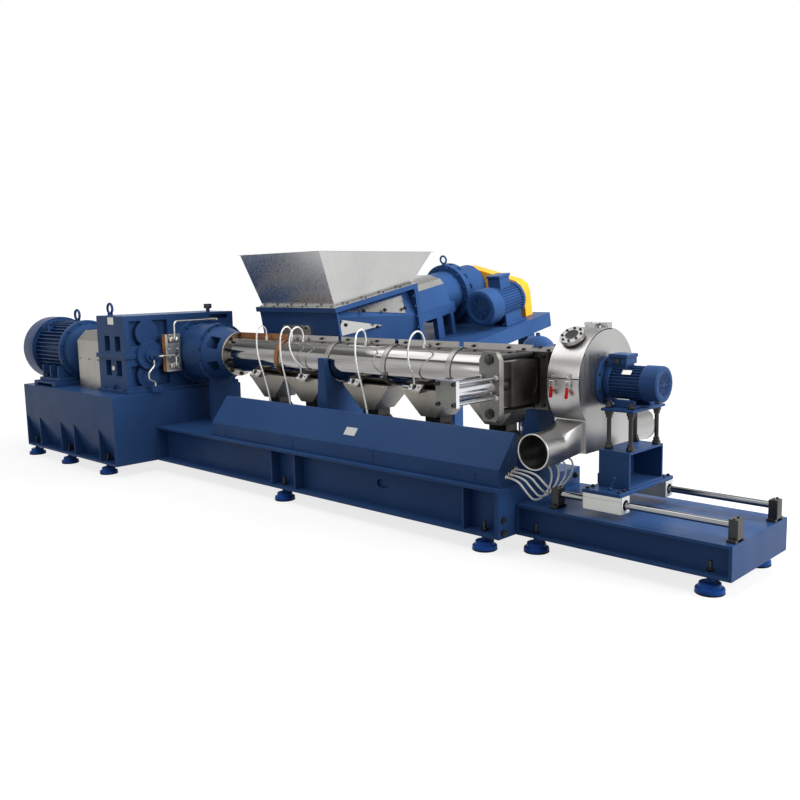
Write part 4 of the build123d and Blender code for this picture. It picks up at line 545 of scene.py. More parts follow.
def finned_motor(name, seat, rides, cowl, body, shield, bell, fin_height, fin_count):
    """A motor on its seat, from its grille on; cowl, body, shield and bell are (radius, length)."""
    wide, deep = cowl
    groove = wide * 0.06
    profile = [(wide * 0.12, groove * 0.4), (wide * 0.16, groove * 0.4)]
    for step in range(5):
        inner = wide * (0.16 + 0.10 * step)
        profile += [(inner, groove), (inner + wide * 0.05, groove), (inner + wide * 0.05, groove * 0.4),
                    (inner + wide * 0.10, groove * 0.4)]
    profile += [(wide * 0.70, 0.0), (wide * 0.88, 0.0), (wide * 0.97, wide * 0.05), (wide, wide * 0.13),
                (wide, deep), (wide * 0.985, deep), (wide * 0.985, deep * 0.97), (body[0], deep * 0.97)]
    parts = [turned("cowl", profile, 64)]
    spoke = cut_plate("spoke", (wide * 0.10, -wide * 0.02, groove * 0.2), (wide * 0.69, wide * 0.02, groove),
                      groove * 0.2)
    parts += ring_of(spoke, 8, 0, 315)
    core = body[0] - fin_height
    start, end = deep * 0.9, deep + body[1]
    parts.append(turned("core", [(core, start), (core, end)], 64))
    spacing = 2 * math.pi * body[0] / fin_count
    fin = cut_plate("fin", (core - fin_height * 0.2, -spacing * 0.13, start), (body[0], spacing * 0.13, end),
                    spacing * 0.03, 1)
    choose_faces(fin, TO_RIGHT)
    bpy.ops.transform.resize(value=(1.0, 0.6, 1.0))
    bpy.ops.object.mode_set(mode="OBJECT")
    parts += ring_of(fin, fin_count, 0, 360 * (fin_count - 1) / fin_count)
    rim, thick = shield
    parts.append(turned("shield", [(rim * 0.96, end), (rim, end + thick * 0.15), (rim, end + thick * 0.85),
                                   (rim * 0.97, end + thick)], 64))
    nose, reach = bell
    tip = end + thick
    bell_steps = ((0.99, 0.0), (1.0, 0.1), (0.96, 0.55), (0.80, 0.80), (0.46, 0.86), (0.46, 1.0))
    parts.append(turned("bell", [(nose * share, tip + reach * along) for share, along in bell_steps], 64))
    # A black disc just inside the grille's grooves is painted shade: it stands for the dark inside of the
    # cowl seen through the grille's openings.
    painted_grille_shade = turned(name + "_painted_grille_shade", [(wide * 0.655, groove * 0.97), (wide * 0.66, groove * 0.93),
                                            (wide * 0.655, groove * 0.90)], 48)
    motor = joined(parts, name)
    motor.matrix_world = seat
    painted_grille_shade.matrix_world = seat
    settle(painted_grille_shade, black_oxide_and_painted_shade, rides)
    pick(motor)
    bpy.ops.object.transform_apply(location=True, rotation=True, scale=True)
    return motor


drive_motor = finned_motor("drive_motor", Matrix.Translation(MOTOR_START) @ ALONG_X, "machine",
                           (0.322, 0.246), (0.285, 0.520), (0.299, 0.045), (0.262, 0.105), 0.040, 44)
motor_feet = []
for foot_side in (-1, 1):
    foot_near = MOTOR_START.y + foot_side * 0.330
    foot_far = MOTOR_START.y + foot_side * 0.150
    motor_feet.append(cut_plate("motor_foot", (-3.267, min(foot_near, foot_far), BASE_TOP),
                                (-2.837, max(foot_near, foot_far), BASE_TOP + 0.030), 0.006))
    for web_x in (-3.220, -3.060, -2.890):
        web = cut_plate("motor_web", (web_x - 0.012, min(foot_near, foot_far) + 0.02, BASE_TOP + 0.02),
                        (web_x + 0.012, max(foot_near, foot_far) - 0.02, BASE_TOP + 0.150), 0.004)
        choose_faces(web, UPWARD)
        bpy.ops.transform.translate(value=(0.0, -foot_side * 0.050, 0.0))
        bpy.ops.object.mode_set(mode="OBJECT")
        motor_feet.append(web)
motor_feet.append(cut_plate("motor_saddle", (-3.237, MOTOR_START.y - 0.170, BASE_TOP + 0.004),
                            (-2.867, MOTOR_START.y + 0.170, BASE_TOP + 0.090), 0.010))
for boss_x in (-3.330, -3.250):
    boss = cut_plate("motor_boss", (boss_x - 0.008, MOTOR_START.y - 0.215, 1.235),
                     (boss_x + 0.008, MOTOR_START.y - 0.150, 1.315), 0.003)
    choose_faces(boss, UPWARD)
    bpy.ops.transform.translate(value=(0.030, 0.030, 0.0))
    bpy.ops.object.mode_set(mode="OBJECT")
    motor_feet.append(boss)
drive_motor = joined([drive_motor] + motor_feet, "drive_motor")
settle(drive_motor, blue_enamel)
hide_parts("main_motor")
in_blue("motor_slide_base", 0.003)
foot_bolts = [((bolt_x, MOTOR_START.y + side * 0.285, BASE_TOP + 0.030), UPWARD)
              for bolt_x in (-3.190, -2.920) for side in (-1, 1)]
black_set(hex_nut(0.020, 0.018, 0.012, 0.034), foot_bolts, "motor_foot_bolts")


def bolt_circle(centre, axis, radius, count, first=0.0):
    """Places around a circle, each looking along the axis of the circle."""
    axis = Vector(axis).normalized()
    side = Vector((0, 1, 0)) if abs(axis.x) > 0.9 else Vector(TO_RIGHT)
    up = axis.cross(side).normalized()
    side = up.cross(axis).normalized()
    spots = []
    for step in range(count):
        angle = math.radians(first + 360.0 * step / count)
        spots.append((Vector(centre) + radius * (math.cos(angle) * side + math.sin(angle) * up), axis))
    return spots


shield_bolts = bolt_circle((-2.842, MOTOR_START.y, MOTOR_START.z), TO_RIGHT, 0.279, 12, 15)
set_out(hex_nut(0.012, 0.010, 0.006, 0.012), shield_bolts, "motor_shield_bolts", blue_enamel)

# Coupling guard
# A folded stainless hood over the coupling with a lapped seam along both its upright walls,
# screwed to the drive base along the front wall's foot.
TO_FRONT = (0, -1, 0)
LAP_PLACES = (-2.60, -2.42, -2.245)


def brushed(name, deep, light, smooth, rough, stretch):
    """Brushed sheet steel, its scratches drawn along the axis with the small stretch."""
    finish, tree, shader, place = new_finish(name)
    shader.inputs["Metallic"].default_value = 1.0
    tint(tree, grain(tree, place, 1.6, detail=5.0), deep, light, shader.inputs["Base Color"])
    sheen(tree, grain(tree, place, 70.0, stretch, 3.0), smooth, rough, shader.inputs["Roughness"])
    relief(tree, grain(tree, place, 90.0, stretch, 2.0), 0.004, 0.0003, shader.inputs["Normal"])
    return finish


guard_steel = brushed("guard_steel", (0.25, 0.235, 0.215), (0.32, 0.305, 0.28), 0.28, 0.36, (1.0, 1.0, 0.04))
dressed("coupling_guard", guard_steel, 0.002)
guard_laps = [cut_plate("guard_lap", (-2.632, lap_y - 0.0018, 0.998), (-2.212, lap_y + 0.0018, 1.010), 0.001)
              for lap_y in (-1.7037, -1.2763)]
settle(joined(guard_laps, "guard_laps"), guard_steel)


def socket_screw(width, height):
    """A socket-head screw with a rounded rim and a recess in its head."""
    return turned("screw", [(width, 0.0), (width, height * 0.85), (width * 0.9, height),
                            (width * 0.5, height), (width * 0.48, height * 0.5)], 14)


lap_screws = [((lap_x, -1.7055, 1.004), TO_FRONT) for lap_x in LAP_PLACES]
lap_screws += [((lap_x, -1.703, 0.745), TO_FRONT) for lap_x in LAP_PLACES]
black_set(socket_screw(0.006, 0.005), lap_screws, "guard_screws")

# Gearbox
# A two-part casting in blue enamel, ribbed into pockets and bolted at the split line, with
# bearing cover and pump on the free side, a breather on top, sight glass and drain plug.
GEAR_FRONT = -1.716342
GEAR_END = -1.711
in_blue("gearbox_housing", 0.005)
gear_fittings = in_blue("gearbox_fittings", 0.003)
gear_fittings.data.materials.append(black_oxide_and_painted_shade)
for face in gear_fittings.data.polygons:
    if face.center.z > 1.450:
        face.material_index = 1
in_blue("lifting_eyes", 0.004)
cover_bolts = bolt_circle((-1.675, MOTOR_START.y, MOTOR_START.z), TO_RIGHT, 0.110, 6, 30)
cover_bolts += [((bolt_x, GEAR_FRONT + 0.022, 1.099), UPWARD) for bolt_x in (-2.028, -1.840)]
cover_bolts += [((GEAR_END + 0.026, bolt_y, 0.752), UPWARD) for bolt_y in (-1.62, -1.25, -1.05, -0.80)]
cover_bolts += [((bolt_x, GEAR_FRONT - 0.008, 0.752), UPWARD) for bolt_x in (-2.10, -1.93, -1.76)]
set_out(hex_nut(0.012, 0.012, 0.007, 0.014), cover_bolts, "gearbox_bolts", blue_enamel)
zinc_steel = brushed("zinc_steel", (0.46, 0.445, 0.41), (0.56, 0.54, 0.51), 0.26, 0.34, (0.2, 0.2, 0.2))
sight_ring = turned("sight_ring", [(0.024, 0.0), (0.024, 0.006), (0.019, 0.010), (0.015, 0.010),
                                   (0.014, 0.006)], 28)
set_out(sight_ring, [((-1.935, GEAR_FRONT, 0.945), TO_FRONT)], "oil_sight_ring", zinc_steel)
drain_plug = turned("plug", [(0.021, 0.0), (0.021, 0.008), (0.014, 0.008), (0.014, 0.024), (0.012, 0.026)], 6)
set_out(drain_plug, [((-1.930, GEAR_FRONT, 0.782), TO_FRONT)], "oil_drain_plug", blue_enamel)
blank_plate = cut_plate("gearbox_plate", (-1.995, GEAR_FRONT - 0.002, 1.340),
                        (-1.890, GEAR_FRONT + 0.001, 1.405), 0.0012)
raise_panel(blank_plate, TO_FRONT, 0.005, -0.0006)
settle(blank_plate, zinc_steel)
plate_pins = [((pin_x, GEAR_FRONT - 0.002, pin_z), TO_FRONT)
              for pin_x in (-1.988, -1.897) for pin_z in (1.347, 1.398)]
pin = turned("pin", [(0.0035, 0.0), (0.003, 0.0016), (0.0015, 0.0022)], 12)
set_out(pin, plate_pins, "gearbox_plate_pins", zinc_steel)

# Oil cooler and pipes
# A brazed plate cooler, copper between its plates with a bright steel face, hangs on the gearbox;
# bent steel pipes with union nuts join it to the pump and the sump.
copper_brown = surface("copper_brown", 0.75, (0.20, 0.080, 0.030), (0.34, 0.150, 0.055), (6.0, 6.0),
                       (22.0, 0.30, 0.48), (160.0, 0.10, 0.0005))
dressed("oil_cooler", copper_brown, 0.002)
COOLER_FACE = -1.587
RIDGE_COUNT = 11
RIDGE_START = -1.645
RIDGE_STEP = 0.005
cooler_ridge = cut_plate("cooler_ridge", (0.0, -1.3825, 0.902), (0.0028, -1.2295, 1.239), 0.0010, 1)
ridges = [twin_of(cooler_ridge, Matrix.Translation((RIDGE_START + RIDGE_STEP * step, 0.0, 0.0)))
          for step in range(RIDGE_COUNT)]
bpy.data.objects.remove(cooler_ridge)
settle(joined(ridges, "cooler_plates"), copper_brown)
cooler_face = cut_plate("cooler_face", (COOLER_FACE - 0.004, -1.384, 0.900),
                        (COOLER_FACE + 0.004, -1.228, 1.241), 0.003)
raise_panel(cooler_face, TO_RIGHT, 0.018, -0.003)
settle(cooler_face, zinc_steel)
cooler_studs = [((COOLER_FACE + 0.002, stud_y, stud_z), TO_RIGHT)
                for stud_y in (-1.350, -1.262) for stud_z in (1.035, 1.105)]
set_out(hex_nut(0.010, 0.008, 0.005, 0.020), cooler_studs, "cooler_studs", zinc_steel)
dressed("oil_pipes", zinc_steel, 0.001)
cooler_ports = [((COOLER_FACE + 0.030, port_y, port_z), TO_RIGHT)
                for port_y in (-1.333, -1.279) for port_z in (0.951, 1.189)]
union = turned("union", [(0.023, -0.014), (0.025, -0.011), (0.025, 0.004), (0.022, 0.008), (0.012, 0.010)], 6)
set_out(union, cooler_ports, "cooler_unions", zinc_steel)

# Thrust housing and barrel flange
# A cast lantern with four windows between gearbox and barrel, ringed with screws at both
# flanges, then the turned steel barrel flange with its black socket screws.
AXIS_Y = -0.961342
AXIS_Z = 1.056
housing = in_blue("thrust_housing", 0.005)
housing.data.materials.append(black_oxide_and_painted_shade)
for face in housing.data.polygons:
    inside = math.hypot(face.center.y - AXIS_Y, face.center.z - AXIS_Z) < 0.170
    if inside and -1.30 < face.center.x < -1.07:
        face.material_index = 1
housing_bolts = bolt_circle((-1.649, AXIS_Y, AXIS_Z), TO_RIGHT, 0.281, 16, 11)
set_out(hex_nut(0.015, 0.014, 0.009, 0.018), housing_bolts, "housing_flange_bolts", blue_enamel)
ring_screws = bolt_circle((-1.313, AXIS_Y, AXIS_Z), TO_RIGHT, 0.257, 16, 11)
black_set(socket_screw(0.009, 0.009), ring_screws, "housing_ring_screws")
flange_steel = brushed("flange_steel", (0.28, 0.255, 0.225), (0.37, 0.34, 0.30), 0.24, 0.32, (0.2, 0.2, 0.2))
dressed("barrel_flange", flange_steel, 0.003)
barrel_screws = bolt_circle((-1.035, AXIS_Y, AXIS_Z), TO_RIGHT, 0.174, 10, 18)
black_set(socket_screw(0.017, 0.014), barrel_screws, "barrel_flange_screws")

# Barrel covers
# Mirror-polished stainless half shells over the heaters, held by bands at the zone joints
# and a clamped strip along the top; brown straps at the feed end.
polished_steel_and_painted_reflections, tree, shader, place = new_finish("polished_steel_and_painted_reflections")
shader.inputs["Metallic"].default_value = 1.0
# The dark and light streaks along the barrel in the base colour are painted reflection bands. They stand in
# for dark surroundings mirrored in the polished shells, and the two tones are kept dark for polished steel, a
# painted darker reflection.
painted_reflection_streaks = grain(tree, place, 16.0, (0.05, 1.0, 1.0), 5.0)
tint(tree, painted_reflection_streaks, (0.16, 0.157, 0.153), (0.40, 0.392, 0.38), shader.inputs["Base Color"])
sheen(tree, grain(tree, place, 14.0, detail=6.0), 0.04, 0.09, shader.inputs["Roughness"])
relief(tree, grain(tree, place, 2.2, (0.25, 1.6, 1.6), 1.0), 0.22, 0.006, shader.inputs["Normal"])
dressed("heater_covers", polished_steel_and_painted_reflections, 0.002)
band_steel = brushed("band_steel", (0.24, 0.232, 0.222), (0.34, 0.33, 0.315), 0.28, 0.36, (0.05, 1.0, 1.0))
dressed("cover_bands", band_steel, 0.002)
dressed("feed_cover_trim", copper_brown, 0.0015)
STRIP_SCREWS = (0.089, 0.398, 0.721, 1.024, 1.337, 1.665, 1.962)
strip_screws = [((screw_x, AXIS_Y - 0.0085, 1.230), TO_FRONT) for screw_x in STRIP_SCREWS]
black_set(hex_nut(0.011, 0.008, 0.006, 0.026), strip_screws, "strip_screws")
ZONE_JOINTS = (-0.332, 0.29475, 0.9215, 1.54825)
LATCH_FACE = AXIS_Y - 0.171
latches = [cut_plate("band_latch", (joint_x - 0.016, LATCH_FACE, AXIS_Z - 0.075),
                     (joint_x + 0.016, LATCH_FACE + 0.023, AXIS_Z - 0.045), 0.003) for joint_x in ZONE_JOINTS]
settle(joined(latches, "band_latches"), band_steel)
latch_nuts = [((joint_x, LATCH_FACE, AXIS_Z - 0.060), TO_FRONT) for joint_x in ZONE_JOINTS]
black_set(hex_nut(0.009, 0.007, 0.005, 0.014), latch_nuts, "band_latch_nuts")

# Stands, cooling ducts and fans
# Blue plate stands carry the barrel; under each zone a folded air duct, browned by heat,
# narrows to a black fan on the frame.
in_blue("support_stands", 0.003)
duct_steel = brushed("duct_steel", (0.21, 0.195, 0.165), (0.33, 0.31, 0.275), 0.36, 0.48, (1.0, 1.0, 0.05))
dressed("cooling_ducts", duct_steel, 0.002)
dressed("cooling_fans", black_oxide_and_painted_shade, 0.004)
DUCT_CENTRES = (-0.497, -0.007, 0.703, 1.323, 1.903)
duct_screws = [((centre + offset, -1.0915, 0.903), TO_FRONT)
               for centre in DUCT_CENTRES for offset in (-0.20, 0.20)]
set_out(hex_nut(0.007, 0.005, 0.004, 0.008), duct_screws, "duct_screws", zinc_steel)

# Heater terminal boxes and glands
# Small folded boxes with a bare white plate and a black gland on their sloped front, and
# turned glands where the cables come out of the covers and out of the guard's end plate.
heater_boxes = dressed("heater_boxes", duct_steel, 0.002)
dressed("cable_glands", zinc_steel, 0.001)
white_plate = enamel("white_plate", (0.66, 0.66, 0.64), (0.76, 0.76, 0.75), 0.34)
BOX_CENTRES = (-0.595, 0.013, 0.624, 1.254, 1.823)
SLOPE = math.radians(46.3)
SLOPE_MIDDLE = Vector((0.0, -1.1315, 0.9305))
CABLE_ENTRY_Y = -1.1349


def cut_away(part, cutter):
    """Cut one shape out of another and drop the cutter."""
    bpy.context.view_layer.update()
    pick(part)
    cut = part.modifiers.new("cut", "BOOLEAN")
    cut.operation = "DIFFERENCE"
    cut.solver = "EXACT"
    cut.object = cutter
    bpy.ops.object.modifier_apply(modifier="cut")
    bpy.data.objects.remove(cutter)
    return part


slope_cutter = cut_plate("slope_cutter", (-0.8, -0.08, 0.0), (2.0, 0.08, 0.08), 0.0005)
slope_seat = Matrix.Translation(SLOPE_MIDDLE) @ Matrix.Rotation(SLOPE, 4, "X")
slope_cutter.matrix_world = slope_seat
cut_away(heater_boxes, slope_cutter)
slope_out = Vector((0.0, -math.sin(SLOPE), math.cos(SLOPE)))
box_fronts = []
box_screws = []
box_glands = []
for box_x in BOX_CENTRES:
    front = cut_plate("box_front", (-0.054, -0.027, -0.001), (0.054, 0.027, 0.002), 0.001)
    raise_panel(front, UPWARD, 0.007, 0.002)
    front.matrix_world = Matrix.Translation((box_x, 0.0, 0.0)) @ slope_seat
    box_fronts.append(front)
    for side in (-1, 1):
        screw_place = SLOPE_MIDDLE + Vector((box_x + side * 0.040, 0.0, 0.0)) + slope_out * 0.004
        box_screws.append((screw_place, slope_out))
    box_glands.append(((box_x, CABLE_ENTRY_Y, 0.920), UPWARD))
settle(joined(box_fronts, "heater_box_fronts"), white_plate)
black_set(socket_screw(0.006, 0.004), box_screws, "heater_box_screws")
box_gland = turned("box_gland", [(0.016, 0.0), (0.016, 0.018), (0.012, 0.020), (0.012, 0.030),
                                 (0.0075, 0.034)], 16)
black_set(box_gland, box_glands, "heater_box_glands")
gland_spots = []
for cable_name, route in CABLE_ROUTES.items():
    if cable_name.startswith("end_cable"):
        gland_spots += [(route[0], TO_RIGHT), (route[-1], TO_RIGHT)]
gland = turned("gland", [(0.017, 0.0), (0.017, 0.010), (0.013, 0.012), (0.013, 0.020), (0.010, 0.026)], 12)
set_out(gland, gland_spots, "end_plate_glands", zinc_steel)

# Side guard
# A folded sheet cover along the frame, blue like the frame, with paired screws in its skirt
# and a small bare white plate on the slope.
in_blue("side_guard", 0.004)
skirt_screws = [((screw_x, -1.4525, screw_z), TO_FRONT)
                for screw_x in (-0.62, 0.256, 1.134, 2.057) for screw_z in (0.444, 0.478)]
set_out(socket_screw(0.007, 0.005), skirt_screws, "guard_skirt_screws", blue_enamel)
bare_plate = cut_plate("guard_plate", (-0.058, -0.032, 0.0), (0.058, 0.032, 0.002), 0.0009)
raise_panel(bare_plate, UPWARD, 0.005, -0.0005)
GUARD_SLOPE = math.radians(51.6)
bare_plate.matrix_world = Matrix.Translation((0.849, -1.385, 0.609)) @ Matrix.Rotation(GUARD_SLOPE, 4, "X")
settle(bare_plate, white_plate)
seam_strips = [cut_plate("guard_seam", (seam_x - 0.012, -1.4545, 0.414), (seam_x + 0.012, -1.4515, 0.520),
                         0.001) for seam_x in (0.256, 1.134)]
settle(joined(seam_strips, "guard_seams"), blue_enamel)

# Feed throat, trough and hopper
# A tilted blue trough behind the barrel with bolted stainless side covers; the stainless
# hopper above it has a folded lip and a foot strip screwed to the trough flange.
FEEDER = Matrix.Translation((-0.577, -0.661342, 1.449)) @ Matrix.Rotation(math.radians(10.5), 4, "X")
feeder_up = FEEDER.to_3x3() @ Vector(UPWARD)
feeder_on = FEEDER.to_3x3() @ Vector((0, 1, 0))


def on_feeder(u, s, n):
    """A place in the tilted feeder's own axes."""
    return FEEDER @ Vector((u, s, n))


hopper_steel = brushed("hopper_steel", (0.46, 0.46, 0.455), (0.56, 0.56, 0.55), 0.25, 0.31, (1.0, 1.0, 0.05))
dressed("feed_throat", band_steel, 0.002)
in_blue("feeder_trough", 0.003)
dressed("trough_cover_plates", hopper_steel, 0.0015)
dressed("feeder_hopper", hopper_steel, 0.001)
hopper_low, hopper_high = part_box("feeder_hopper")
LIP = 0.014
LIP_INSIDE = 0.003
lip_top = hopper_high.z
lip_foot = lip_top - 0.004
lip_bars = [
    ((hopper_low.x - LIP, hopper_low.y - LIP), (hopper_high.x + LIP, hopper_low.y + LIP_INSIDE)),
    ((hopper_low.x - LIP, hopper_high.y - LIP_INSIDE), (hopper_high.x + LIP, hopper_high.y + LIP)),
    ((hopper_low.x - LIP, hopper_low.y), (hopper_low.x + LIP_INSIDE, hopper_high.y)),
    ((hopper_high.x - LIP_INSIDE, hopper_low.y), (hopper_high.x + LIP, hopper_high.y)),
]
lip_strips = [cut_plate("hopper_lip", (*low, lip_foot), (*high, lip_top), 0.0015) for low, high in lip_bars]
settle(joined(lip_strips, "hopper_lip"), hopper_steel)
AWAY = Matrix.Rotation(math.radians(-90), 4, "X")
THROAT_FACE = -0.060
throat_plates = [((-0.152, THROAT_FACE - 0.0002, -0.230), (0.152, -0.020, -0.134)),
                 ((-0.187, THROAT_FACE + 0.0002, -0.230), (0.187, -0.020, -0.169))]
throat_parts = [cut_plate("throat_piece", low, high, 0.002) for low, high in throat_plates]
for side in (-1, 1):
    corner = turned("throat_corner", [(0.033, 0.0), (0.035, 0.002), (0.035, 0.038), (0.033, 0.040)], 40)
    corner.matrix_world = Matrix.Translation((side * 0.152, THROAT_FACE, -0.169)) @ AWAY
    throat_parts.append(corner)
throat_plate = joined(throat_parts, "throat_plate")
throat_plate.matrix_world = FEEDER @ throat_plate.matrix_world
settle(throat_plate, zinc_steel)
plate_screws = [(on_feeder(u, THROAT_FACE, -0.154), -feeder_on) for u in (-0.14, -0.07, 0.0, 0.07, 0.14)]
black_set(socket_screw(0.010, 0.009), plate_screws, "throat_plate_screws")
STRIP_FOOT = 0.020
STRIP_TOP = 0.025
foot_bars = [((-0.540, -0.042), (0.540, -0.001)), ((-0.540, 0.961), (0.540, 0.983)),
             ((-0.540, -0.001), (-0.492, 0.961)), ((0.492, -0.001), (0.540, 0.961))]
foot_strips = [cut_plate("hopper_foot", (*low, STRIP_FOOT), (*high, STRIP_TOP), 0.001)
               for low, high in foot_bars]
hopper_foot = joined(foot_strips, "hopper_foot")
hopper_foot.matrix_world = FEEDER @ hopper_foot.matrix_world
settle(hopper_foot, hopper_steel)
throat_bolts = [((bolt_x, -0.838, 1.224), UPWARD) for bolt_x in (-0.735, -0.640, -0.515, -0.420)]
black_set(hex_nut(0.012, 0.010, 0.007, 0.016), throat_bolts, "throat_bolts")
screw_spots = [(u, -0.026) for u in (-0.48, -0.30, -0.10, 0.10, 0.30, 0.48)]
screw_spots += [(u, s) for u in (0.522, -0.522) for s in (0.12, 0.34, 0.56, 0.78)]
flange_screws = [(on_feeder(u, s, STRIP_TOP), feeder_up) for u, s in screw_spots]
black_set(hex_nut(0.010, 0.008, 0.006, 0.010), flange_screws, "trough_flange_screws")
COVER_KNOBS = ((-0.362, 1.424), (-0.106, 1.422), (0.151, 1.429), (-0.577, 1.315), (-0.198, 1.277))
plates_low, plates_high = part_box("trough_cover_plates")
knob_spots = [((plates_high.x, y, z), TO_RIGHT) for y, z in COVER_KNOBS]
knob_spots += [((plates_low.x, y, z), (-1, 0, 0)) for y, z in COVER_KNOBS]
black_set(hex_nut(0.017, 0.018, 0.009, 0.030), knob_spots, "cover_plate_nuts")
rear_row = ((0.242, 1.534), (0.266, 1.443), (0.290, 1.351), (0.300, 1.250))
rear_bolts = [((-0.032, y, z), TO_RIGHT) for y, z in rear_row]
rear_bolts += [((-1.122, y, z), (-1, 0, 0)) for y, z in rear_row]
set_out(hex_nut(0.011, 0.009, 0.006, 0.012), rear_bolts, "trough_end_bolts", blue_enamel)

# Feeder drive
# Behind the trough a welded lantern carries a cycloid gear unit with a castellated rim; a finned
# motor beside it drives the unit through belts under an orange sheet guard.
in_blue("feeder_lantern", 0.004)
in_blue("feeder_gear_unit", 0.005)
GEAR_SEAT = FEEDER @ Matrix.Translation((0.0, 1.960, -0.283)) @ AWAY
rim_lug = cut_plate("rim_lug", (0.240, -0.032, 0.030), (0.2965, 0.032, 0.090), 0.004)
rim_parts = ring_of(rim_lug, 16, 0, 337.5)
rim_parts.append(turned("rim_ring", [(0.290, 0.084), (0.2968, 0.088), (0.2968, 0.110), (0.290, 0.114)], 72))
gear_rim = joined(rim_parts, "gear_rim")
gear_rim.matrix_world = GEAR_SEAT @ gear_rim.matrix_world
settle(gear_rim, blue_enamel)
gear_bolts = bolt_circle(on_feeder(0.0, 1.960, -0.283), -feeder_on, 0.268, 12, 15)
set_out(hex_nut(0.014, 0.012, 0.008, 0.016), gear_bolts, "gear_unit_bolts", blue_enamel)
SIDE_SEAT = FEEDER @ Matrix.Translation((0.640, 1.704, -0.383)) @ AWAY
side_motor = finned_motor("side_motor", SIDE_SEAT, "machine", (0.178, 0.170), (0.160, 0.330), (0.166, 0.040),
                          (0.130, 0.050), 0.018, 36)
side_parts = []
for u_low, u_high in ((0.505, 0.575), (0.705, 0.775)):
    side_parts.append(cut_plate("side_motor_foot", (u_low, 1.930, -0.609), (u_high, 2.230, -0.585), 0.004))
    side_parts.append(cut_plate("side_motor_web", (u_low + 0.020, 1.950, -0.590),
                                (u_high - 0.020, 2.210, -0.480), 0.006))
side_parts.append(cut_plate("side_terminal", (0.565, 1.969, -0.245), (0.715, 2.129, -0.135), 0.005))
side_parts.append(cut_plate("side_lid", (0.556, 1.960, -0.140), (0.724, 2.138, -0.113), 0.006, 3))
side_parts.append(cut_plate("side_terminal_neck", (0.575, 1.985, -0.270), (0.705, 2.115, -0.225), 0.006))
tilted = joined(side_parts, "side_motor_parts")
tilted.matrix_world = FEEDER @ tilted.matrix_world
side_motor = joined([side_motor, tilted], "side_motor")
settle(side_motor, blue_enamel)
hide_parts("feeder_motor")
orange_enamel = enamel("orange_enamel", (0.86, 0.36, 0.030), (0.95, 0.45, 0.045), 0.30)
dressed("belt_guard", orange_enamel, 0.012)
in_blue("feeder_deck", 0.004)
in_blue("feeder_stand", 0.004)
side_bolts = [(on_feeder(u, s, -0.585), feeder_up) for u in (0.540, 0.740) for s in (1.970, 2.190)]
black_set(hex_nut(0.013, 0.012, 0.008, 0.020), side_bolts, "side_motor_bolts")

# Screen changer
# Two dark steel blocks guide a slide plate across the melt; a chrome hydraulic cylinder between
# a grey cap and a clipped mount plate pushes it, fed by a blue accumulator bottle.
screen_steel = surface("screen_steel", 0.8, (0.046, 0.042, 0.036), (0.105, 0.098, 0.086), (5.0, 7.0),
                       (18.0, 0.28, 0.42), (120.0, 0.08, 0.0005))
dressed("screen_changer_body", screen_steel, 0.004)
dressed("screen_slide", screen_steel, 0.003, "screen_slide")
body_screws = [((2.421, y, z), TO_RIGHT) for y in (-1.150, -0.772) for z in (0.915, 1.056, 1.197)]
body_screws += [((x, y, 1.236), UPWARD) for x in (2.205, 2.391) for y in (-1.140, -0.961, -0.782)]
body_screws += [((x, -1.186, z), TO_FRONT) for x in (2.208, 2.388) for z in (0.905, 1.207)]
black_set(socket_screw(0.013, 0.012), body_screws, "changer_screws")
grey_cast = surface("grey_cast", 0.85, (0.11, 0.11, 0.10), (0.18, 0.18, 0.165), (5.0, 7.0),
                    (18.0, 0.30, 0.44), (120.0, 0.08, 0.0005))
mount_plate = dressed("cylinder_mount_plate", grey_cast, 0.004)
mount_plate.data.materials.append(black_oxide_and_painted_shade)
mount_plate.data.materials.append(zinc_steel)
for face in mount_plate.data.polygons:
    if face.center.y > -1.560:
        face.material_index = 1
    elif face.normal.x > 0.8:
        face.material_index = 2
CYLINDER_X = 2.298
CAP_FACE = -2.006342
HEAD = 0.012
chrome = surface("chrome", 1.0, (0.62, 0.63, 0.66), (0.74, 0.75, 0.78), (4.0, 4.0), (25.0, 0.10, 0.18),
                 (90.0, 0.02, 0.0004))
cylinder = dressed("slide_cylinder", chrome, 0.003)
pick(cylinder)
bpy.ops.object.mode_set(mode="EDIT")
bpy.ops.mesh.select_mode(type="VERT")
bpy.ops.mesh.select_all(action="DESELECT")
bpy.ops.object.mode_set(mode="OBJECT")
for knot in cylinder.data.vertices:
    knot.select = knot.co.y < CAP_FACE + 0.010
bpy.ops.object.mode_set(mode="EDIT")
bpy.ops.transform.translate(value=(0.0, HEAD, 0.0))
bpy.ops.object.mode_set(mode="OBJECT")
cylinder.data.materials.append(grey_cast)
for face in cylinder.data.polygons:
    if face.center.y < -1.967 and face.normal.y < -0.5:
        face.material_index = 1
cap_corners = [(CYLINDER_X + x, AXIS_Z + z) for x in (-0.058, 0.058) for z in (-0.058, 0.058)]
cap_screws = [((x, CAP_FACE + HEAD, z), TO_FRONT) for x, z in cap_corners]
black_set(socket_screw(0.013, HEAD - 0.0005), cap_screws, "cylinder_cap_screws")
PLATE_FACE = -1.606
rod_nuts = [((CYLINDER_X, PLATE_FACE, AXIS_Z + z), TO_FRONT) for z in (-0.160, 0.160)]
black_set(hex_nut(0.032, 0.014, 0.020, 0.026), rod_nuts, "long_rod_nuts")
tie_nut = turned("tie_nut", [(0.016, 0.0), (0.016, 0.014), (0.013, 0.016)], 6)
tie_nuts = [((x, PLATE_FACE, z), TO_FRONT) for x, z in cap_corners]
set_out(tie_nut, tie_nuts, "cylinder_tie_nuts", zinc_steel)
dressed("die_head", screen_steel, 0.003)
in_blue("accumulator", 0.005)
bottle_low, bottle_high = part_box("accumulator")
bottle_x = (bottle_low.x + bottle_high.x) / 2
bottle_y = (bottle_low.y + bottle_high.y) / 2
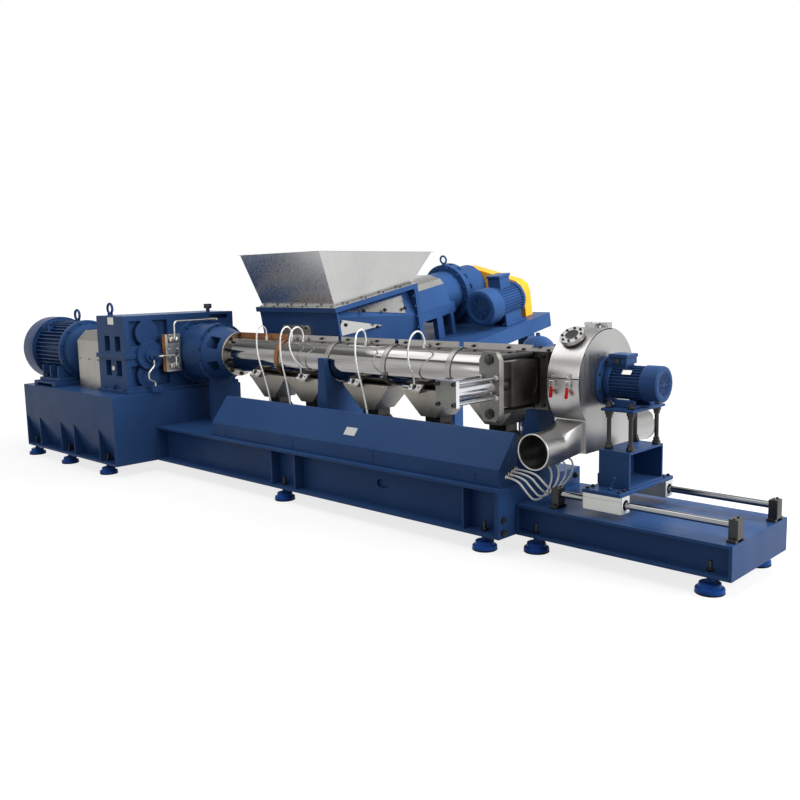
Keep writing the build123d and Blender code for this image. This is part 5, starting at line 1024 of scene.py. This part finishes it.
strap = turned("strap", [(0.1215, 0.0), (0.123, 0.001), (0.123, 0.029), (0.1215, 0.030)], 48)
strap_spots = [((bottle_x, bottle_y, strap_z), UPWARD) for strap_z in (0.640, 1.030)]
set_out(strap, strap_spots, "bottle_straps", zinc_steel)

# Rails and carriage
# Two ground steel rods in black end blocks carry aluminium bearing housings with white end plates;
# a blue carriage plate and stand with black threaded rods hold the pelletizer at barrel height.
RAIL_SIDES = (AXIS_Y - 0.262, AXIS_Y + 0.262)
rail_steel = brushed("rail_steel", (0.20, 0.205, 0.215), (0.29, 0.295, 0.305), 0.14, 0.22, (1.0, 0.05, 0.05))
dressed("guide_rails", rail_steel, 0.002)
dressed("rail_end_blocks", black_oxide_and_painted_shade, 0.003)
BLOCK_PLACES = [(x, y) for x in (2.519, 3.622) for y in RAIL_SIDES]
FOOT_TOP = 0.312
block_feet = [cut_plate("block_foot", (x - 0.026, y - 0.058, 0.295), (x + 0.026, y + 0.058, FOOT_TOP), 0.003)
              for x, y in BLOCK_PLACES]
settle(joined(block_feet, "end_block_feet"), black_oxide_and_painted_shade)
block_screws = [((x, y + side * 0.047, FOOT_TOP), UPWARD) for x, y in BLOCK_PLACES for side in (-1, 1)]
block_screws += [((x, y + side * 0.027, 0.417), UPWARD) for x, y in BLOCK_PLACES for side in (-1, 1)]
black_set(socket_screw(0.007, 0.006), block_screws, "end_block_screws")
aluminium = brushed("aluminium", (0.38, 0.39, 0.37), (0.48, 0.49, 0.47), 0.28, 0.40, (0.05, 1.0, 1.0))
ROD_HEIGHT = 0.380
BLOCK_HALF = 0.0447
blocks = dressed("bearing_blocks", aluminium, 0.002, "carriage")
for rail_y in RAIL_SIDES:
    for side in (-1, 1):
        groove_y = rail_y + side * BLOCK_HALF
        groove_cutter = cut_plate("groove_cutter", (2.700, groove_y - 0.003, 0.402),
                                  (3.000, groove_y + 0.003, 0.407), 0.0005)
        cut_away(blocks, groove_cutter)
break_edges(blocks, 0.0005)


def rolled_ring(centre, turn, ring_radius, wire_radius, sides, stretch):
    """A round ring, pressed flat or drawn out along its axis."""
    bpy.ops.object.select_all(action="DESELECT")
    bpy.ops.mesh.primitive_torus_add(major_radius=ring_radius, minor_radius=wire_radius, major_segments=sides,
                                     minor_segments=10, location=centre, rotation=turn)
    ring = bpy.context.object
    bpy.ops.object.transform_apply(location=True, rotation=True, scale=True)
    bpy.ops.object.mode_set(mode="EDIT")
    bpy.ops.mesh.select_all(action="SELECT")
    bpy.ops.transform.resize(value=stretch)
    bpy.ops.object.mode_set(mode="OBJECT")
    bpy.ops.object.shade_smooth_by_angle(angle=math.radians(60))
    return ring


end_plates = []
seals = []
for end_x in (2.7225, 2.9755):
    for rail_y in RAIL_SIDES:
        end_plate = cut_plate("bearing_end", (end_x - 0.003, rail_y - 0.044, 0.331),
                              (end_x + 0.003, rail_y + 0.044, 0.429), 0.0015)
        bore = turned("bearing_bore", [(0.0315, -0.020), (0.0315, 0.020)], 40)
        bore.matrix_world = Matrix.Translation((end_x, rail_y, ROD_HEIGHT)) @ ALONG_X
        cut_away(end_plate, bore)
        break_edges(end_plate, 0.0006)
        end_plates.append(end_plate)
        seals.append(rolled_ring((end_x, rail_y, ROD_HEIGHT), (0.0, math.radians(90), 0.0), 0.0262, 0.0058,
                                 40, (0.5, 1.0, 1.0)))
settle(joined(end_plates, "bearing_ends"), white_plate, "carriage")
settle(joined(seals, "bearing_seals"), rubber, "carriage")
in_blue("carriage_plate", 0.004, "carriage")
plate_bolts = [((x, AXIS_Y + side * y, 0.452), UPWARD)
               for x in (2.745, 2.953) for y in (0.236, 0.292) for side in (-1, 1)]
black_set(hex_nut(0.012, 0.011, 0.007, 0.015), plate_bolts, "carriage_bolts", "carriage")
lever = turned("lever", [(0.013, 0.0), (0.013, 0.016), (0.006, 0.022), (0.0055, 0.075), (0.0065, 0.079),
                         (0.0065, 0.086), (0.003, 0.090)], 16)
lever_place = ((2.872, -1.221, 0.450), (0.36, 0.0, 0.93))
set_out(lever, [lever_place], "clamp_lever", blue_enamel, "carriage")
in_blue("stand_box", 0.002, "carriage")
dressed("stand_rods", black_oxide_and_painted_shade, 0.0015, "carriage")
in_blue("motor_plate", 0.003, "carriage")
ROD_PLACES = [(x, AXIS_Y + side * 0.153) for x in (2.801, 2.943) for side in (-1, 1)]
rod_collars = [((x, y, 0.672), UPWARD) for x, y in ROD_PLACES]
rod_collars += [((x, y, 0.902), (0, 0, -1)) for x, y in ROD_PLACES]
collar = turned("collar", [(0.024, 0.0), (0.025, 0.002), (0.025, 0.020), (0.021, 0.024), (0.019, 0.024),
                           (0.019, 0.040), (0.0165, 0.043)], 6)
black_set(collar, rod_collars, "rod_collars", "carriage")
top_nuts = [((x, y, 0.918), UPWARD) for x, y in ROD_PLACES]
black_set(hex_nut(0.022, 0.020, 0.013, 0.034), top_nuts, "rod_top_nuts", "carriage")

# Pelletizer motor
# A small flange motor in blue enamel on the motor plate, its cowl with a ring grille to the free
# end and a terminal box with a lid and gland on top.
CUTTER_SEAT = Matrix.Translation((3.070, AXIS_Y, AXIS_Z)) @ Matrix.Rotation(math.radians(-90), 4, "Y")
cutter_motor = finned_motor("cutter_motor", CUTTER_SEAT, "carriage", (0.108, 0.107), (0.102, 0.200),
                            (0.106, 0.038), (0.098, 0.012), 0.013, 32)
cutter_flange = turned("cutter_flange", [(0.146, 0.0), (0.148, 0.002), (0.148, 0.014), (0.145, 0.016),
                                         (0.120, 0.016), (0.108, 0.022)], 64)
cutter_flange.matrix_world = Matrix.Translation((2.697, AXIS_Y, AXIS_Z)) @ ALONG_X
cutter_parts = [cutter_motor, cutter_flange]
for side in (-1, 1):
    near, far = sorted((AXIS_Y + side * 0.060, AXIS_Y + side * 0.118))
    cutter_parts.append(cut_plate("cutter_foot", (2.790, near, 0.918), (2.950, far, 0.934), 0.003))
    cutter_parts.append(cut_plate("cutter_web", (2.805, near + 0.006, 0.930),
                                  (2.935, far - 0.022, 0.962), 0.004))
BOX_HALF = 0.062
cutter_parts += [
    cut_plate("cutter_box", (2.743, AXIS_Y - BOX_HALF, 1.165), (2.858, AXIS_Y + BOX_HALF, 1.205), 0.004),
    cut_plate("cutter_lid", (2.738, AXIS_Y - 0.068, 1.203), (2.863, AXIS_Y + 0.068, 1.226), 0.006, 3),
    cut_plate("cutter_neck", (2.752, AXIS_Y - 0.050, 1.120), (2.849, AXIS_Y + 0.050, 1.172), 0.005),
]
cutter_motor = joined(cutter_parts, "cutter_motor")
settle(cutter_motor, blue_enamel, "carriage")
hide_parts("pelletizer_motor")
motor_gland = turned("box_gland", [(0.016, 0.0), (0.016, 0.010), (0.012, 0.012), (0.012, 0.020),
                                   (0.006, 0.021)], 12)
gland_place = ((2.800, AXIS_Y - BOX_HALF, 1.185), TO_FRONT)
black_set(motor_gland, [gland_place], "cutter_box_gland", "carriage")
bare_motor_plate = cut_plate("cutter_plate", (-0.030, -0.016, 0.0), (0.030, 0.016, 0.002), 0.0008)
raise_panel(bare_motor_plate, UPWARD, 0.003, -0.0005)
plate_turn = Matrix.Rotation(math.radians(49), 4, "X")
bare_motor_plate.matrix_world = Matrix.Translation((2.870, AXIS_Y - 0.078, AXIS_Z + 0.067)) @ plate_turn
settle(bare_motor_plate, zinc_steel, "carriage")
flange_nuts = bolt_circle((2.713, AXIS_Y, AXIS_Z), TO_RIGHT, 0.130, 8, 22)
black_set(hex_nut(0.010, 0.009, 0.006, 0.013), flange_nuts, "cutter_flange_nuts", "carriage")

# Pelletizer hood
# A welded stainless drum with a hinged door, bolted sight flange, two red-handled toggle clamps
# and a square-to-round outlet with a rolled lip on either side.
hood_steel = brushed("hood_steel", (0.36, 0.355, 0.35), (0.46, 0.455, 0.45), 0.28, 0.38, (1.0, 1.0, 0.06))
dressed("hood_shell", hood_steel, 0.003, "carriage")
dressed("hood_door", hood_steel, 0.002, "hood_door")
dressed("outlet_ducts", hood_steel, 0.002, "carriage")
CLAMP_PLACES = (2.522, 2.631)
CLAMP_WALL = -1.2815
clamp_parts = []
catch_parts = []
for clamp_x in CLAMP_PLACES:
    clamp_parts.append(cut_plate("clamp_base", (clamp_x - 0.013, CLAMP_WALL - 0.004, 1.020),
                                 (clamp_x + 0.013, CLAMP_WALL + 0.003, 1.080), 0.001))
    for side in (-1, 1):
        cheek_x = clamp_x + side * 0.010
        clamp_parts.append(cut_plate("clamp_cheek", (cheek_x - 0.0015, CLAMP_WALL - 0.022, 1.028),
                                     (cheek_x + 0.0015, CLAMP_WALL - 0.002, 1.066), 0.0007))
        pull = turned("clamp_pull", [(0.0024, 1.046), (0.0024, 1.079), (0.0018, 1.081)], 12)
        pull.location = (clamp_x + side * 0.0145, CLAMP_WALL - 0.016, 0.0)
        clamp_parts.append(pull)
    for pin_z, pin_reach in ((1.048, 0.018), (1.077, 0.016)):
        pin = turned("clamp_pin", [(0.0026, -pin_reach), (0.0034, -pin_reach + 0.001),
                                   (0.0034, pin_reach - 0.001), (0.0026, pin_reach)], 14)
        pin.matrix_world = Matrix.Translation((clamp_x, CLAMP_WALL - 0.016, pin_z)) @ ALONG_X
        clamp_parts.append(pin)
    catch_parts.append(cut_plate("clamp_catch", (clamp_x - 0.012, CLAMP_WALL - 0.004, 1.092),
                                 (clamp_x + 0.012, CLAMP_WALL + 0.006, 1.122), 0.001))
    catch_parts.append(cut_plate("clamp_hook", (clamp_x - 0.009, CLAMP_WALL - 0.020, 1.102),
                                 (clamp_x + 0.009, CLAMP_WALL - 0.002, 1.112), 0.002))
clamps = settle(joined(clamp_parts, "hood_clamps"), zinc_steel, "carriage")
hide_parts("toggle_clamps")
settle(joined(catch_parts, "hood_catches"), zinc_steel, "hood_door")
SIGHT_TURN = math.radians(126)
SIGHT_REACH = 0.357
sight_out = Vector((0.0, math.cos(SIGHT_TURN), math.sin(SIGHT_TURN)))
sight_face = Vector((2.5766, AXIS_Y, AXIS_Z)) + sight_out * SIGHT_REACH
sight_bolts = bolt_circle(sight_face, sight_out, 0.060, 8, 10)
black_set(hex_nut(0.0085, 0.007, 0.005, 0.009), sight_bolts, "sight_bolts", "hood_door")
dark_glass = surface("dark_glass", 0.0, (0.010, 0.011, 0.012), (0.020, 0.022, 0.024), (12.0, 4.0),
                     (30.0, 0.05, 0.12), (8.0, 0.03, 0.0005))
pane = turned("sight_glass", [(0.041, -0.001), (0.041, 0.0025), (0.036, 0.0035), (0.035, 0.0010)], 40)
set_out(pane, [(sight_face, sight_out)], "sight_glass", dark_glass, "hood_door")
red_grip = enamel("red_grip", (0.50, 0.012, 0.010), (0.66, 0.022, 0.018), 0.32)
grip = turned("grip", [(0.006, 0.0), (0.0095, 0.003), (0.0105, 0.018), (0.0095, 0.038), (0.0115, 0.054),
                       (0.0085, 0.063), (0.004, 0.066)], 20)
grip_spots = [((clamp_x, CLAMP_WALL - 0.016, 1.042), (0.0, -0.22, -0.975)) for clamp_x in CLAMP_PLACES]
set_out(grip, grip_spots, "clamp_grips", red_grip, "carriage")
lips = [rolled_ring((2.5875, lip_y, 0.699), (math.radians(90), 0.0, 0.0), 0.1030, 0.0050, 64, (1.0, 1.4, 1.0))
        for lip_y in (-1.5755, -0.347)]
settle(joined(lips, "outlet_lips"), hood_steel, "carriage")
